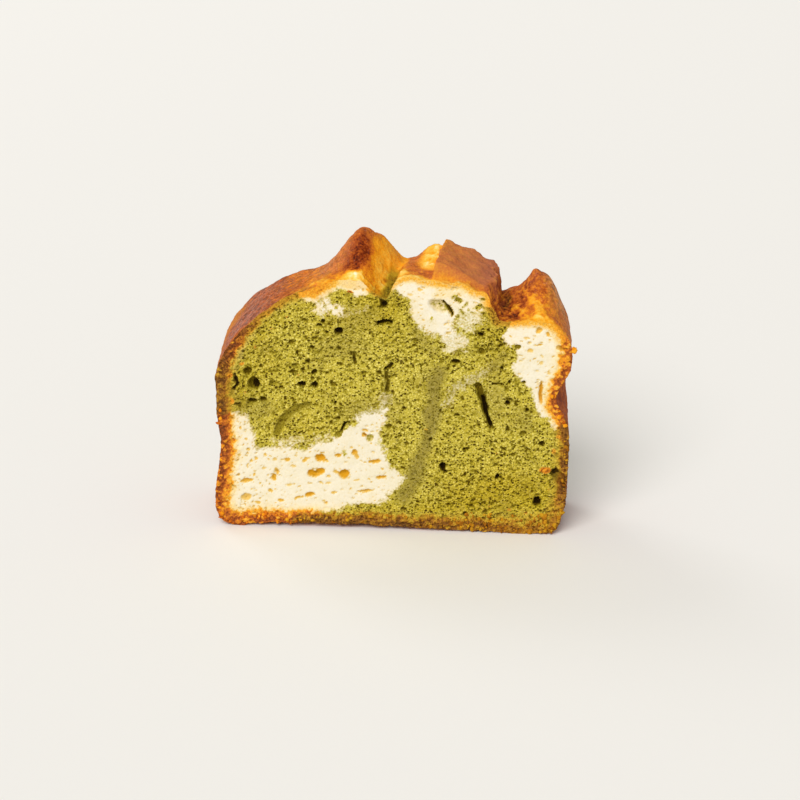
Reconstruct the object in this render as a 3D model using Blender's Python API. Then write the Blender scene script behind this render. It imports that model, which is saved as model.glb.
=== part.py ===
"""A slice of marbled matcha loaf cake, standing on its base, as one closed solid.

X runs across the slice, the front cut looks along -Y and Z is up. The origin is the middle of the
base. The slice is a loft: the same outline function is read at each depth from the front cut to the
back cut, so the crown can rise, crack and fall away between them. The larger holes of the crumb are
then cut into both faces. Constants are in millimetres and angles in degrees.
"""

import math

import bmesh
import bpy
import numpy as np
from mathutils import Matrix

MM = 0.001

# Overall size.
HALF_WIDTH = 43.0
THICKNESS = 20.0

# Base corners, left and right, and how far the right side draws in towards the base, and from what height.
LEFT_CORNER = 5.5
RIGHT_CORNER = 3.0
RIGHT_FOOT_INSET = 1.8
RIGHT_FOOT_HEIGHT = 11.0

# Sides: where each one ends below the crown, how far it leans in by there, and its waist.
LEFT_SIDE_TOP = 38.8
RIGHT_SIDE_TOP = 46.8
SIDE_LEAN = 0.5
LEFT_WAIST_DEPTH = 1.4
LEFT_WAIST_HEIGHT = 21.8
LEFT_WAIST_SPREAD = 9.0
RIGHT_WAIST_DEPTH = 3.4
RIGHT_WAIST_HEIGHT = 36.8
RIGHT_WAIST_SPREAD = 5.2
RIGHT_WAIST_AT_BACK = 0.25
RIGHT_WAIST_FADE = 0.6

# Crown: the long left shoulder, the level top, the step down on the right and the right shoulder.
# The cleft and the slab keep their x of the front cut along lines that drift right towards the back.
LEFT_SHOULDER_END = -15.0
LEFT_SHOULDER_RISE = (25.0, 22.5)
LEFT_SHOULDER_POWER = (1.6, 1.75)
LEVEL_BLEND = (-8.0, 4.0)
STEP_START = 17.0
STEP_END = 26.0
STEP_DROP = 8.2
RIGHT_SHOULDER_START = 35.5
CRACK_DRIFT = 3.65
CRACK_DRIFT_SPREAD = 17.0
CLEFT_X = -2.0
CLEFT_DEPTH = (4.4, 1.0)
CLEFT_LEFT_SPREAD = 4.2
CLEFT_RIGHT_SPREAD = 1.7

# Humps of the crown: x, y, spread along x, spread along y, height.
HUMPS = (
    ("left peak", -8.3, 3.0, 4.0, 8.5, 8.3),
    ("left peak, shoulder side", -12.6, 3.5, 4.4, 8.5, 4.2),
    ("left peak, cleft side", -3.8, 5.0, 4.2, 8.0, 5.4),
    ("left peak, front foot", -11.0, -10.0, 4.6, 6.0, 1.2),
    ("left peak, right flank at the back", -2.2, 8.0, 3.4, 5.0, 2.5),
    ("block beside the cleft", 2.6, -9.0, 5.6, 11.0, 2.2),
    ("block under the slab", 13.0, -9.0, 7.0, 7.0, 1.4),
    ("cream under the slab's right end", 21.8, -10.0, 2.0, 2.2, 2.9),
    ("torn crumb at the back", 9.9, 9.0, 4.3, 6.0, 4.0),
    ("small crust bump", 3.4, 1.0, 1.9, 2.0, 1.0),
    ("notch floor at the back", 27.8, 7.0, 2.0, 5.0, 0.9),
    ("right peak", 33.5, 2.5, 4.5, 7.5, 7.6),
    ("right peak, knob", 33.4, 3.0, 1.2, 1.8, 0.9),
    ("right peak, outer side", 37.5, 4.0, 3.0, 8.0, 3.0),
)

# Raised slab of crust: a tilted plate with steep edges over the step. Its right end leans right
# towards the back.
SLAB_LEFT = 9.2
SLAB_RIGHT = (23.4, 24.8)
SLAB_RAGGED = 0.8
SLAB_RAGGED_WAVE = 5.7
SLAB_RAGGED_SPREAD = 3.0
SLAB_FRONT = -7.6
SLAB_HEIGHT = 69.8
SLAB_SLOPE = -0.46
SLAB_RISE = 0.6
SLAB_EDGE = 1.1

# Crags over the whole crust: wavelength, heading and height of each wave.
CRAGS = (
    (9.7, 20.0, 0.16),
    (7.1, 105.0, 0.14),
    (5.3, 155.0, 0.12),
    (4.1, 63.0, 0.10),
    (3.3, 128.0, 0.08),
)

# Holes that show in the front cut: x, z, width, height, depth.
FRONT_HOLES = (
    (-17.3, 18.7, 2.6, 1.8, 1.2),
    (-18.8, 15.0, 2.6, 2.0, 1.4),
    (-16.8, 14.6, 2.4, 2.2, 1.4),
    (-11.4, 14.6, 3.3, 2.9, 1.6),
    (-8.5, 20.6, 2.4, 2.1, 1.4),
    (-3.7, 18.4, 2.6, 1.1, 1.0),
    (-2.1, 13.8, 2.4, 1.1, 1.0),
    (-27.8, 13.0, 1.9, 2.4, 1.2),
    (-34.7, 12.3, 3.1, 1.1, 1.0),
    (-20.1, 8.5, 2.4, 1.6, 1.1),
    (-5.5, 10.5, 4.0, 1.1, 1.0),
    (-35.3, 7.8, 2.6, 1.9, 1.0),
    (34.1, 53.2, 2.2, 2.8, 1.2),
    (29.9, 49.1, 3.0, 2.4, 1.5),
    (32.5, 48.2, 2.2, 1.9, 1.1),
    (37.1, 50.4, 1.9, 1.7, 1.1),
    (35.3, 39.2, 1.3, 5.0, 1.3),
    (11.8, 59.2, 4.6, 2.7, 2.6),
    (15.4, 60.4, 2.4, 1.5, 1.4),
    (-34.5, 41.3, 1.9, 2.3, 2.0),
    (-32.7, 38.1, 3.0, 3.0, 2.6),
    (-37.9, 38.7, 1.6, 1.8, 1.2),
    (-21.7, 38.4, 1.9, 1.4, 1.5),
    (-18.3, 38.5, 1.7, 1.6, 1.6),
    (-12.0, 27.2, 1.4, 2.8, 1.4),
    (-12.9, 52.1, 1.9, 2.0, 1.8),
    (-1.9, 55.0, 2.8, 1.0, 1.4),
    (14.9, 44.8, 1.9, 1.4, 1.4),
    (20.9, 48.1, 1.8, 1.9, 1.1),
    (4.8, 50.6, 1.8, 1.8, 1.0),
    (-0.8, 44.3, 1.8, 1.8, 1.1),
    (27.6, 35.3, 1.5, 1.6, 1.5),
    (12.4, 17.3, 1.7, 2.4, 1.8),
    (25.8, 15.1, 1.5, 1.6, 1.6),
    (35.8, 8.6, 1.7, 2.3, 1.9),
    (31.4, 26.4, 1.8, 1.5, 1.1),
)

# Long slit right of the middle, in the front cut.
SLIT_TOP = (20.2, 38.8)
SLIT_FOOT = (23.3, 28.6)
SLIT_WIDTH = 1.5
SLIT_DEPTH = 2.2

# Holes in the back cut follow a rule.
BACK_HOLE_COUNT = 34
BACK_HOLE_WIDTH = (1.5, 3.4)
BACK_HOLE_SQUASH = (0.45, 1.0)
BACK_HOLE_DEPTH = (1.0, 1.9)
BACK_HOLE_CLEARANCE = 1.2
BACK_HOLE_MARGIN = 6.0
BACK_HOLE_HEIGHTS = (5.0, 58.0)
BACK_HOLE_SEED = 7

# Mesh.
BASE_COLUMNS = 6
OTHER_COLUMNS = 144
ROWS = 20
OUTLINE_SAMPLES = 1200
HOLE_SUBDIVISIONS = 1


def bell(offset, spread):
    """A smooth bump: 1 at no offset, falling as the bell curve of offset over spread."""
    return np.exp(-((offset / spread) ** 2))


def ease(value, start, end):
    """0 below start and 1 above end, with a smooth S between them."""
    share = np.clip((value - start) / (end - start), 0.0, 1.0)
    return share * share * (3.0 - 2.0 * share)


def between(pair, share):
    """The value that lies share of the way from the first of the pair to the second."""
    return pair[0] + (pair[1] - pair[0]) * share


def back_share(y):
    """0 at the front cut and 1 at the back cut."""
    return y / THICKNESS + 0.5


def corner_inset(z, radius):
    """How far a rounded base corner pulls its side in at height z: a quarter circle."""
    level = np.clip(1.0 - z / radius, 0.0, 1.0)
    return radius * (1.0 - np.sqrt(1.0 - level * level))


def left_side(z):
    """X of the left side: the half width less the corner, the lean and a wide waist."""
    inset = corner_inset(z, LEFT_CORNER) + SIDE_LEAN * z / LEFT_SIDE_TOP
    inset = inset + LEFT_WAIST_DEPTH * bell(z - LEFT_WAIST_HEIGHT, LEFT_WAIST_SPREAD)
    return inset - HALF_WIDTH


def right_side(z, y):
    """X of the right side: it draws in towards the base, and its waist is a sharp dent at the front
    cut, which fills out behind."""
    dent = RIGHT_WAIST_DEPTH * between((1.0, RIGHT_WAIST_AT_BACK), ease(back_share(y), 0.0, RIGHT_WAIST_FADE))
    inset = corner_inset(z, RIGHT_CORNER) + SIDE_LEAN * z / RIGHT_SIDE_TOP
    inset = inset + RIGHT_FOOT_INSET * (1.0 - ease(z, 0.0, RIGHT_FOOT_HEIGHT))
    inset = inset + dent * bell(z - RIGHT_WAIST_HEIGHT, RIGHT_WAIST_SPREAD)
    return HALF_WIDTH - inset


def cleft_inset(front_x, y):
    """Depth of the crack in the crown, gentle on its left side and steep on its right."""
    offset = front_x - CLEFT_X
    spread = np.where(offset < 0.0, CLEFT_LEFT_SPREAD, CLEFT_RIGHT_SPREAD)
    return between(CLEFT_DEPTH, back_share(y)) * bell(offset, spread)


def slab_mask(front_x, y):
    """1 on the raised slab and 0 off it, with steep edges on its left, right and front."""
    left = ease(front_x, SLAB_LEFT - SLAB_EDGE, SLAB_LEFT)
    right_edge = between(SLAB_RIGHT, back_share(y))
    right = 1.0 - ease(front_x, right_edge - SLAB_EDGE, right_edge)
    return left * right * ease(y, SLAB_FRONT - SLAB_EDGE, SLAB_FRONT)


def drifted(front_x, y):
    """Where the line that starts at front_x on the front cut lies at depth y: lines near the cleft
    drift right towards the back, and lines near the slab's right edge sway with its ragged end."""
    drift = CRACK_DRIFT * back_share(y) * bell(front_x, CRACK_DRIFT_SPREAD)
    sway = SLAB_RAGGED * np.sin(y * math.tau / SLAB_RAGGED_WAVE)
    return front_x + drift + sway * bell(front_x - between(SLAB_RIGHT, back_share(y)), SLAB_RAGGED_SPREAD)


def crags(x, y):
    """Uneven crust: a sum of waves, each with its own wavelength and heading."""
    height = np.zeros(np.broadcast(x, y).shape)
    for length, heading, size in CRAGS:
        turn = math.radians(heading)
        along = x * math.cos(turn) + y * math.sin(turn)
        height = height + size * np.sin(along * math.tau / length + heading)
    return height


def crown(front_x, y):
    """Height of the crown on the line that starts at front_x, at depth y: two rounded shoulders, a
    step, humps, the cleft and the slab."""
    x = drifted(front_x, y)
    share = back_share(y)
    left_end = left_side(LEFT_SIDE_TOP)
    right_end = right_side(RIGHT_SIDE_TOP, y)
    reach = np.clip((LEFT_SHOULDER_END - x) / (LEFT_SHOULDER_END - left_end), 0.0, 1.0)
    power = between(LEFT_SHOULDER_POWER, share)
    left_form = (1.0 - reach**power) ** (1.0 / power)
    reach = np.clip((x - RIGHT_SHOULDER_START) / (right_end - RIGHT_SHOULDER_START), 0.0, 1.0)
    right_form = np.sqrt(1.0 - reach * reach)

    left_level = LEFT_SIDE_TOP + between(LEFT_SHOULDER_RISE, share)
    middle_level = LEFT_SIDE_TOP + LEFT_SHOULDER_RISE[0]
    level = left_level + (middle_level - left_level) * ease(x, *LEVEL_BLEND)
    level = level - STEP_DROP * ease(x, STEP_START, STEP_END)
    for _, at_x, at_y, spread_x, spread_y, height in HUMPS:
        level = level + height * bell(x - at_x, spread_x) * bell(y - at_y, spread_y)
    level = level - cleft_inset(front_x, y)
    slab = SLAB_HEIGHT + SLAB_SLOPE * (x - SLAB_LEFT) + SLAB_RISE * share
    level = level + slab_mask(front_x, y) * (slab - level)
    level = level + crags(x, y)

    across = ease(x, LEFT_SHOULDER_END, RIGHT_SHOULDER_START)
    side_top = LEFT_SIDE_TOP + (RIGHT_SIDE_TOP - LEFT_SIDE_TOP) * across
    return side_top + (level - side_top) * left_form * right_form


def outline(place, y):
    """Point of the outline at depth y. Place runs 0 to 1 along the base, to 2 up the right side, to 3
    over the crown and to 4 down the left side. Sides are read at squared steps, so the base corners get
    more of them, and the crown at cosine steps, so the shoulders do."""
    place = np.asarray(place, dtype=float)
    part = np.clip(np.floor(place), 0, 3)
    step = place - part
    left_foot = left_side(0.0)
    right_foot = right_side(0.0, y)
    right_z = RIGHT_SIDE_TOP * step**2
    left_z = LEFT_SIDE_TOP * (1.0 - step) ** 2
    right_end = right_side(RIGHT_SIDE_TOP, y)
    left_end = left_side(LEFT_SIDE_TOP)
    front_x = right_end + (left_end - right_end) * (1.0 - np.cos(math.pi * step)) / 2.0
    crown_x = drifted(front_x, y)
    base_x = left_foot + (right_foot - left_foot) * step
    pieces_x = (base_x, right_side(right_z, y), crown_x, left_side(left_z))
    pieces_z = (np.zeros_like(step), right_z, crown(front_x, y), left_z)
    return np.choose(part.astype(int), pieces_x), np.choose(part.astype(int), pieces_z)


def column_places():
    """Place of each column: equal steps along the base, which so has both its corners, and steps of
    nearly equal length over the rest of the outline, as a mean of three depths."""
    fine = np.linspace(1.0, 4.0, OUTLINE_SAMPLES + 1)
    length = np.zeros(OUTLINE_SAMPLES + 1)
    for y in (-THICKNESS / 2.0, 0.0, THICKNESS / 2.0):
        x, z = outline(fine, y)
        length[1:] += np.cumsum(np.hypot(np.diff(x), np.diff(z)))
    wanted = np.arange(OTHER_COLUMNS) * length[-1] / OTHER_COLUMNS
    return np.concatenate((np.arange(BASE_COLUMNS) / BASE_COLUMNS, np.interp(wanted, length, fine)))


def loaf_mesh():
    """The plain slice: rows of the outline from the front cut to the back, closed by two flat faces."""
    places = column_places()
    depths = np.linspace(-THICKNESS / 2.0, THICKNESS / 2.0, ROWS)
    shape = bmesh.new()
    rings = []
    for y in depths:
        x, z = outline(places, y)
        rings.append([shape.verts.new((a * MM, y * MM, b * MM)) for a, b in zip(x, z)])
    for front, back in zip(rings, rings[1:]):
        for i in range(len(places)):
            j = (i + 1) % len(places)
            shape.faces.new((front[i], front[j], back[j], back[i]))
    shape.faces.new(rings[0][::-1])
    shape.faces.new(rings[-1])
    bmesh.ops.recalc_face_normals(shape, faces=shape.faces)
    mesh = bpy.data.meshes.new("matcha_loaf_slice")
    shape.to_mesh(mesh)
    shape.free()
    return mesh


def cut_face_holes():
    """Every hole as x, z, width, height, depth, lean and the side it is on, -1 front and 1 back."""
    holes = [(*hole, 0.0, -1.0) for hole in FRONT_HOLES]
    run = SLIT_FOOT[0] - SLIT_TOP[0]
    fall = SLIT_TOP[1] - SLIT_FOOT[1]
    middle_x = (SLIT_TOP[0] + SLIT_FOOT[0]) / 2.0
    middle_z = (SLIT_TOP[1] + SLIT_FOOT[1]) / 2.0
    length = math.hypot(run, fall)
    lean = -math.atan2(run, fall)
    holes.append((middle_x, middle_z, SLIT_WIDTH, length, SLIT_DEPTH, lean, -1.0))
    return holes + back_holes()


def back_holes():
    """Holes of the back cut: seeded draws, kept clear of each other and of the crust."""
    draw = np.random.default_rng(BACK_HOLE_SEED)
    inner_x = HALF_WIDTH - BACK_HOLE_MARGIN
    placed = []
    while len(placed) < BACK_HOLE_COUNT:
        x = draw.uniform(-inner_x, inner_x)
        z = draw.uniform(*BACK_HOLE_HEIGHTS)
        width = draw.uniform(*BACK_HOLE_WIDTH)
        height = width * draw.uniform(*BACK_HOLE_SQUASH)
        depth = draw.uniform(*BACK_HOLE_DEPTH)
        roof = float(crown(np.array(x), THICKNESS / 2.0))
        if z > roof - BACK_HOLE_MARGIN:
            continue
        if any(math.hypot(x - p[0], z - p[1]) < (width + p[2]) / 2.0 + BACK_HOLE_CLEARANCE for p in placed):
            continue
        placed.append((x, z, width, height, depth, 0.0, 1.0))
    return placed


def hole_cutter():
    """One mesh of every hole: an icosphere drawn out to each hole's size, centred on its cut face."""
    shape = bmesh.new()
    for x, z, width, height, depth, lean, side in cut_face_holes():
        place = Matrix.Translation((x * MM, side * THICKNESS / 2.0 * MM, z * MM))
        turn = Matrix.Rotation(lean, 4, "Y")
        size = Matrix.Diagonal((width / 2.0 * MM, depth * MM, height / 2.0 * MM, 1.0))
        bmesh.ops.create_icosphere(
            shape, subdivisions=HOLE_SUBDIVISIONS, radius=1.0, matrix=place @ turn @ size
        )
    bmesh.ops.recalc_face_normals(shape, faces=shape.faces)
    mesh = bpy.data.meshes.new("hole_cutter")
    shape.to_mesh(mesh)
    shape.free()
    return mesh


def cake_material():
    """Matcha crumb: dull yellow green and rough."""
    material = bpy.data.materials.new("matcha_crumb")
    material.use_nodes = True
    shader = material.node_tree.nodes["Principled BSDF"]
    shader.inputs["Base Color"].default_value = (0.42, 0.33, 0.06, 1.0)
    shader.inputs["Roughness"].default_value = 0.85
    shader.inputs["Metallic"].default_value = 0.0
    return material


def add_object(name, mesh):
    thing = bpy.data.objects.new(name, mesh)
    bpy.context.scene.collection.objects.link(thing)
    return thing


def main():
    for thing in list(bpy.data.objects):
        bpy.data.objects.remove(thing, do_unlink=True)
    cake = add_object("matcha_loaf_slice", loaf_mesh())
    cake.data.materials.append(cake_material())
    cutter = add_object("hole_cutter", hole_cutter())
    cutter.hide_render = True
    cutter.display_type = "WIRE"
    cut = cake.modifiers.new("Holes", "BOOLEAN")
    cut.operation = "DIFFERENCE"
    cut.solver = "EXACT"
    cut.use_self = True
    cut.object = cutter


main()
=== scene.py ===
import math

import bpy
import numpy as np
from mathutils import Matrix, Vector


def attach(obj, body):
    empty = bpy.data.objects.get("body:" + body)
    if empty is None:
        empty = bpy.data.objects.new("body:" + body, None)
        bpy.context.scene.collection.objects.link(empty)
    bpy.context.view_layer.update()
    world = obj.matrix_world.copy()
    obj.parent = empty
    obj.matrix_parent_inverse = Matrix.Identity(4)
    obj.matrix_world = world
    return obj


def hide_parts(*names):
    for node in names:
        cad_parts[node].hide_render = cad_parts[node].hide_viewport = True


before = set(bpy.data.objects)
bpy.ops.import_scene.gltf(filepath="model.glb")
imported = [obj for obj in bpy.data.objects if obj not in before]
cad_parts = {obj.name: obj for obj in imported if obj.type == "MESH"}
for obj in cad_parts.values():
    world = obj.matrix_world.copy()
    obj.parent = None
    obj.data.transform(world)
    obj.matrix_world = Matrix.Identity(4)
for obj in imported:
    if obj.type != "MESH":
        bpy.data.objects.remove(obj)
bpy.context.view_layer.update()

bl_info = {
    "name": "Marbled loaf cake slice",
    "version": (1, 0, 0),
    "blender": (4, 5, 0),
    "location": "3D View > Sidebar > Cake",
    "description": "Builds a slice of marbled matcha loaf cake: its crust, both cut faces and loose crumbs",
    "category": "Add Mesh",
}

# Shape functions work in millimetres, as the part's source does, and meshes are made in metres.
MM = 0.001
NODE = "matcha_loaf_slice"
BODY = "root"

# Form of the solid: the same named values as in the part's source.
HALF_WIDTH = 43.0
THICKNESS = 20.0
LEFT_CORNER = 5.5
RIGHT_CORNER = 3.0
RIGHT_FOOT_INSET = 1.8
RIGHT_FOOT_HEIGHT = 11.0
LEFT_SIDE_TOP = 38.8
RIGHT_SIDE_TOP = 46.8
SIDE_LEAN = 0.5
LEFT_WAIST_DEPTH = 1.4
LEFT_WAIST_HEIGHT = 21.8
LEFT_WAIST_SPREAD = 9.0
RIGHT_WAIST_DEPTH = 3.4
RIGHT_WAIST_HEIGHT = 36.8
RIGHT_WAIST_SPREAD = 5.2
RIGHT_WAIST_AT_BACK = 0.25
LEFT_SHOULDER_END = -15.0
LEFT_SHOULDER_RISE = (25.0, 22.5)
LEFT_SHOULDER_POWER = (1.6, 1.75)
LEVEL_BLEND = (-8.0, 4.0)
STEP_START = 17.0
STEP_END = 26.0
STEP_DROP = 8.2
RIGHT_SHOULDER_START = 35.5
CRACK_DRIFT = 3.65
CRACK_DRIFT_SPREAD = 17.0
CLEFT_X = -2.0
CLEFT_DEPTH = (4.4, 1.0)
CLEFT_LEFT_SPREAD = 4.2
CLEFT_RIGHT_SPREAD = 1.7
HUMPS = (
    ("left peak", -8.3, 3.0, 4.0, 8.5, 8.3),
    ("left peak, shoulder side", -12.6, 3.5, 4.4, 8.5, 4.2),
    ("left peak, cleft side", -3.8, 5.0, 4.2, 8.0, 5.4),
    ("left peak, front foot", -11.0, -10.0, 4.6, 6.0, 1.2),
    ("left peak, right flank at the back", -2.2, 8.0, 3.4, 5.0, 2.5),
    ("block beside the cleft", 2.6, -9.0, 5.6, 11.0, 2.2),
    ("block under the slab", 13.0, -9.0, 7.0, 7.0, 1.4),
    ("cream under the slab's right end", 21.8, -10.0, 2.0, 2.2, 2.9),
    ("torn crumb at the back", 9.9, 9.0, 4.3, 6.0, 4.0),
    ("small crust bump", 3.4, 1.0, 1.9, 2.0, 1.0),
    ("notch floor at the back", 27.8, 7.0, 2.0, 5.0, 0.9),
    ("right peak", 33.5, 2.5, 4.5, 7.5, 7.6),
    ("right peak, knob", 33.4, 3.0, 1.2, 1.8, 0.9),
    ("right peak, outer side", 37.5, 4.0, 3.0, 8.0, 3.0),
)
SLAB_LEFT = 9.2
SLAB_RIGHT = (23.4, 24.8)
SLAB_RAGGED = 0.8
SLAB_RAGGED_WAVE = 5.7
SLAB_RAGGED_SPREAD = 3.0
SLAB_FRONT = -7.6
SLAB_HEIGHT = 69.8
SLAB_SLOPE = -0.46
SLAB_RISE = 0.6
SLAB_EDGE = 1.1
CRAGS = (
    (9.7, 20.0, 0.16),
    (7.1, 105.0, 0.14),
    (5.3, 155.0, 0.12),
    (4.1, 63.0, 0.10),
    (3.3, 128.0, 0.08),
)
OUTLINE_SAMPLES = 2400

# Where the crown hands over to the sides of a face's grid, as places on the outline.
RIGHT_GRID_CORNER = 2.12
LEFT_GRID_CORNER = 2.87

# Hidden rings: depth behind the cut, then how far they lie inside the skin. The last rings lie deep
# inside, shrunk by a share about the middle of the cut.
CRUST_RINGS = ((0.5, 0.2), (1.6, 0.4), (3.2, 0.6))
CRUMB_RINGS = ((0.4, 0.35), (1.6, 0.8), (3.2, 1.2))
RING_SMOOTHING = 4
CRUST_CORE_DEPTH = 4.6
CRUMB_CORE_DEPTH = 3.8
TIP_DEPTH = 4.2
CORE_HEIGHT = 30.0
CORE_SHARE = 0.7

# Cream patches in the front cut: softness of the edge, strength, then the outline as x, z.
CREAM_PATCHES = (
    (0.95, 1, (
        (-41, 30.1), (-38.5, 30), (-36.5, 30.2), (-34.5, 29.8), (-34.4, 27.8), (-33.5, 26.6),
        (-33.4, 25.1), (-33, 23.2), (-32.4, 21.4), (-30, 21), (-28.9, 22.6), (-27, 23.4), (-24, 22.2),
        (-21.3, 21.8), (-19.8, 22.8), (-17, 23.7), (-15, 24.2), (-13.5, 25.5), (-12, 26.5), (-10.6, 28),
        (-9, 29.6), (-6.5, 30.7), (-4.3, 31.4), (-3, 33), (-1.7, 34), (-1, 32.3), (-1.5, 29.6),
        (-2.8, 26.9), (-3, 24.6), (-2.3, 22.3), (-1.4, 19.7), (-0.2, 17.6), (1.8, 16.2), (3, 14),
        (1.8, 11.8), (0.3, 10.3), (-0.4, 8.8), (-1.5, 7.6), (-3.5, 7), (-7, 7.4), (-10.4, 6.2),
        (-11.6, 5.2), (-16, 4.2), (-22, 3.4), (-27, -1.5), (-46, -1.5), (-46, 20.8), (-45, 29.8))),
    (0.45, 1, (
        (-13.6, 62.6), (-13.8, 65.8), (-12, 68.8), (-6, 67.8), (-4.4, 63.8), (-5.7, 62.4), (-6.7, 61.2),
        (-9.6, 61.1), (-9.8, 62.3), (-12.4, 62.6))),
    (0.85, 0.92, (
        (-19.6, 57.8), (-19.4, 60.3), (-16.8, 60.8), (-15.3, 60.4), (-14.6, 59.2), (-13.2, 58.6),
        (-11, 58.4), (-11.2, 57), (-12.2, 56.4), (-13.4, 56), (-14.8, 56.7), (-16.6, 56.3), (-18.2, 56.7))),
    (1.2, 0.42, (
        (-30, 20.4), (-29, 24.2), (-24, 24.6), (-20, 24.2), (-15, 26.4), (-13, 24), (-20, 20.6))),
    (1.1, 0.45, (
        (-10.4, 27.4), (-7.2, 32.2), (-3.6, 33.6), (-2.2, 36.4), (-0.4, 36.2), (-0.8, 32), (-5, 29))),
    (0.8, 0.45, ((-11.5, 58.4), (-6, 58.3), (-5.4, 57.4), (-10, 56.9), (-12, 56.7))),
    (0.85, 1, (
        (-0.6, 63.4), (-0.6, 67.8), (8, 68.8), (15, 67.8), (20, 66.8), (26, 62.6), (24.6, 58.6),
        (21.4, 59), (18.5, 58), (16.7, 57.6), (14, 57.1), (14.2, 54.6), (14.6, 52.6), (11.4, 51),
        (10.3, 51.8), (8, 52.5), (5.8, 54), (4.6, 56.8), (3.4, 59.3), (2.6, 61), (0.8, 62.4))),
    (1.3, 0.62, ((14.2, 58.4), (21.6, 59.2), (21.2, 56), (18.6, 53.4), (15.4, 53.8))),
    (1, 0.74, (
        (11, 52.2), (14.4, 53.6), (15.8, 52.4), (17.4, 50.5), (17.2, 48.2), (14.6, 47.5), (12.8, 48.1),
        (11.2, 50))),
    (0.5, 1, (
        (-22.6, 60.2), (-21.6, 66.8), (-12.6, 68.8), (-13, 63.4), (-15.4, 61.6), (-18, 60.2),
        (-20.6, 59.4))),
    (0.55, 1, (
        (27.2, 56.1), (27.6, 58.8), (36, 60.8), (43, 56.8), (45, 50.5), (43.5, 42.8), (41, 37),
        (41, 33.8), (41.6, 30.8), (39.4, 28.1), (37.5, 30.2), (35.4, 31.8), (34.2, 35.2), (32.8, 38.8),
        (31.2, 40.4), (29.3, 42.1), (28, 44.4), (28.6, 46.8), (28.2, 49.3), (26.2, 49), (26, 51.4),
        (26.6, 53.8))),
    (1.4, 0.36, (
        (12.2, 33.8), (14, 38.3), (17, 41.4), (23, 44.6), (23.4, 42.8), (19, 39.8), (16, 37.7),
        (13.6, 33.8))),
)

# Places where green mottles the cream: x, z, spread x, spread z, amount.
CREAM_MOTTLES = (
    (-24.5, 22.4, 5, 1.6, 0.8), (18.4, 60.4, 3.4, 2.8, 0.62), (-17.6, 58.8, 1.6, 1.2, 0.8),
    (-13.6, 57.6, 2, 1.1, 0.8), (27.4, 47.8, 1.9, 3.4, 0.85), (8.8, 56, 0.7, 2.2, 0.55),
    (7.6, 61.2, 0.9, 0.5, 0.8), (14.4, 61.6, 1.4, 0.8, 0.8), (16.2, 48.4, 2, 1.4, 0.6),
    (-8.4, 57.4, 3, 0.9, 0.5), (-11, 20.4, 0.9, 2, 0.85), (-13.6, 24.2, 1.4, 1.6, 0.7),
    (22.4, 60.4, 2, 1.4, 0.55), (-9, 28, 3, 1.2, 0.6), (0.4, 16.8, 1.6, 2.4, 0.45),
    (10.8, 59.6, 2.8, 1.5, 0.9), (38.5, 30.8, 2.2, 1.6, 0.5), (-2.4, 32.6, 1.5, 2, 0.5),
    (18, 58.8, 2.8, 1.2, 0.7), (3.4, 60.6, 0.9, 0.9, 0.4), (30.2, 41.4, 1.5, 1.2, 0.5),
)

# Places where the green is deeper and yellower: x, z, spread x, spread z, amount.
RICH_SPOTS = (
    (30, 6.8, 16, 10, 1.5), (6, 3.8, 14, 5, 0.6), (-35, 44.8, 7, 8, 0.6), (-38, 33.8, 4, 5, 0.6),
    (-6, 55.8, 12, 5, 0.55), (25, 50.8, 5, 7, 0.5), (-24, 26.8, 8, 5, 0.35),
)

# Bands of pale, smooth, greyer crumb: width, strength, then the line as x, z.
PALE_BANDS = (
    (4.6, 0.95, ((7.2, 19.2), (6.4, 15.4), (4.2, 11.4), (3, 9.8))),
    (3.8, 0.95, ((11.5, 41.8), (9.7, 34.8), (8.6, 25.8), (8, 19.8))),
    (2.8, 0.5, ((13, 34.8), (16, 38.8), (20, 41.6), (25, 44.6), (27, 47.3))),
    (2.4, 0.4, ((-1.4, 34.3), (-1.2, 37.8), (-0.6, 41.8))),
    (1.8, 0.4, ((-27.4, 26.2), (-25.8, 29.5), (-23.4, 31.8), (-20.4, 32.9))),
    (3.2, 0.25, ((9.4, 59.9), (12.2, 58.8))),
    (2.6, 0.5, ((10.5, 47.3), (8, 49.3), (5, 53.3))),
)

# Grooves: width, depth, darkness of the shade painted in them, then the line as x, z.
GROOVES = (
    (1.9, 1.2, 0.72, ((20.4, 39.2), (21, 37.2), (21.8, 34.8), (22.3, 33.2))),
    (1.15, 2.4, 1, ((21.5, 36), (22.3, 33.4), (23.1, 30.8), (23.8, 28.4))),
    (2, 0.8, 0.34, ((-27.6, 25.4), (-26.6, 28.2), (-25, 30.4), (-23.2, 32), (-20.2, 33))),
    (1, 0.8, 0.66, ((-1.5, 41.8), (-1.2, 39.4), (-1.4, 37.2))),
    (0.8, 0.9, 0.8, ((-9.4, 46), (-9, 44.2))),
    (0.8, 1.2, 0.9, ((11.4, 60.4), (12.8, 59.2), (13.7, 57.2))),
    (2.6, 1.3, 0.62, ((39.9, 16.8), (41, 15.6), (42.6, 13.6))),
    (1.1, 1.4, 1, ((-3.8, 54.6), (-2, 55.2), (-0.6, 54.9))),
    (1.5, 1.5, 0.85, ((-3, 61), (-2.6, 58.8))),
    (0.8, 0.9, 0.9, ((-0.4, 44.4), (-0.9, 43), (-1.8, 42.8))),
    (0.7, 0.7, 0.8, ((23.8, 40), (26, 39.7))),
    (0.9, 1, 0.95, ((-12, 26.6), (-11.5, 27.8), (-11.2, 28.6))),
    (1.2, 0.6, 0.4, ((-12.8, 25.2), (-12.1, 26.4))),
    (0.7, 0.9, 0.95, ((-38, 40.4), (-37.2, 39.4), (-37.2, 37.6), (-38.2, 36.6))),
)
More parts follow.
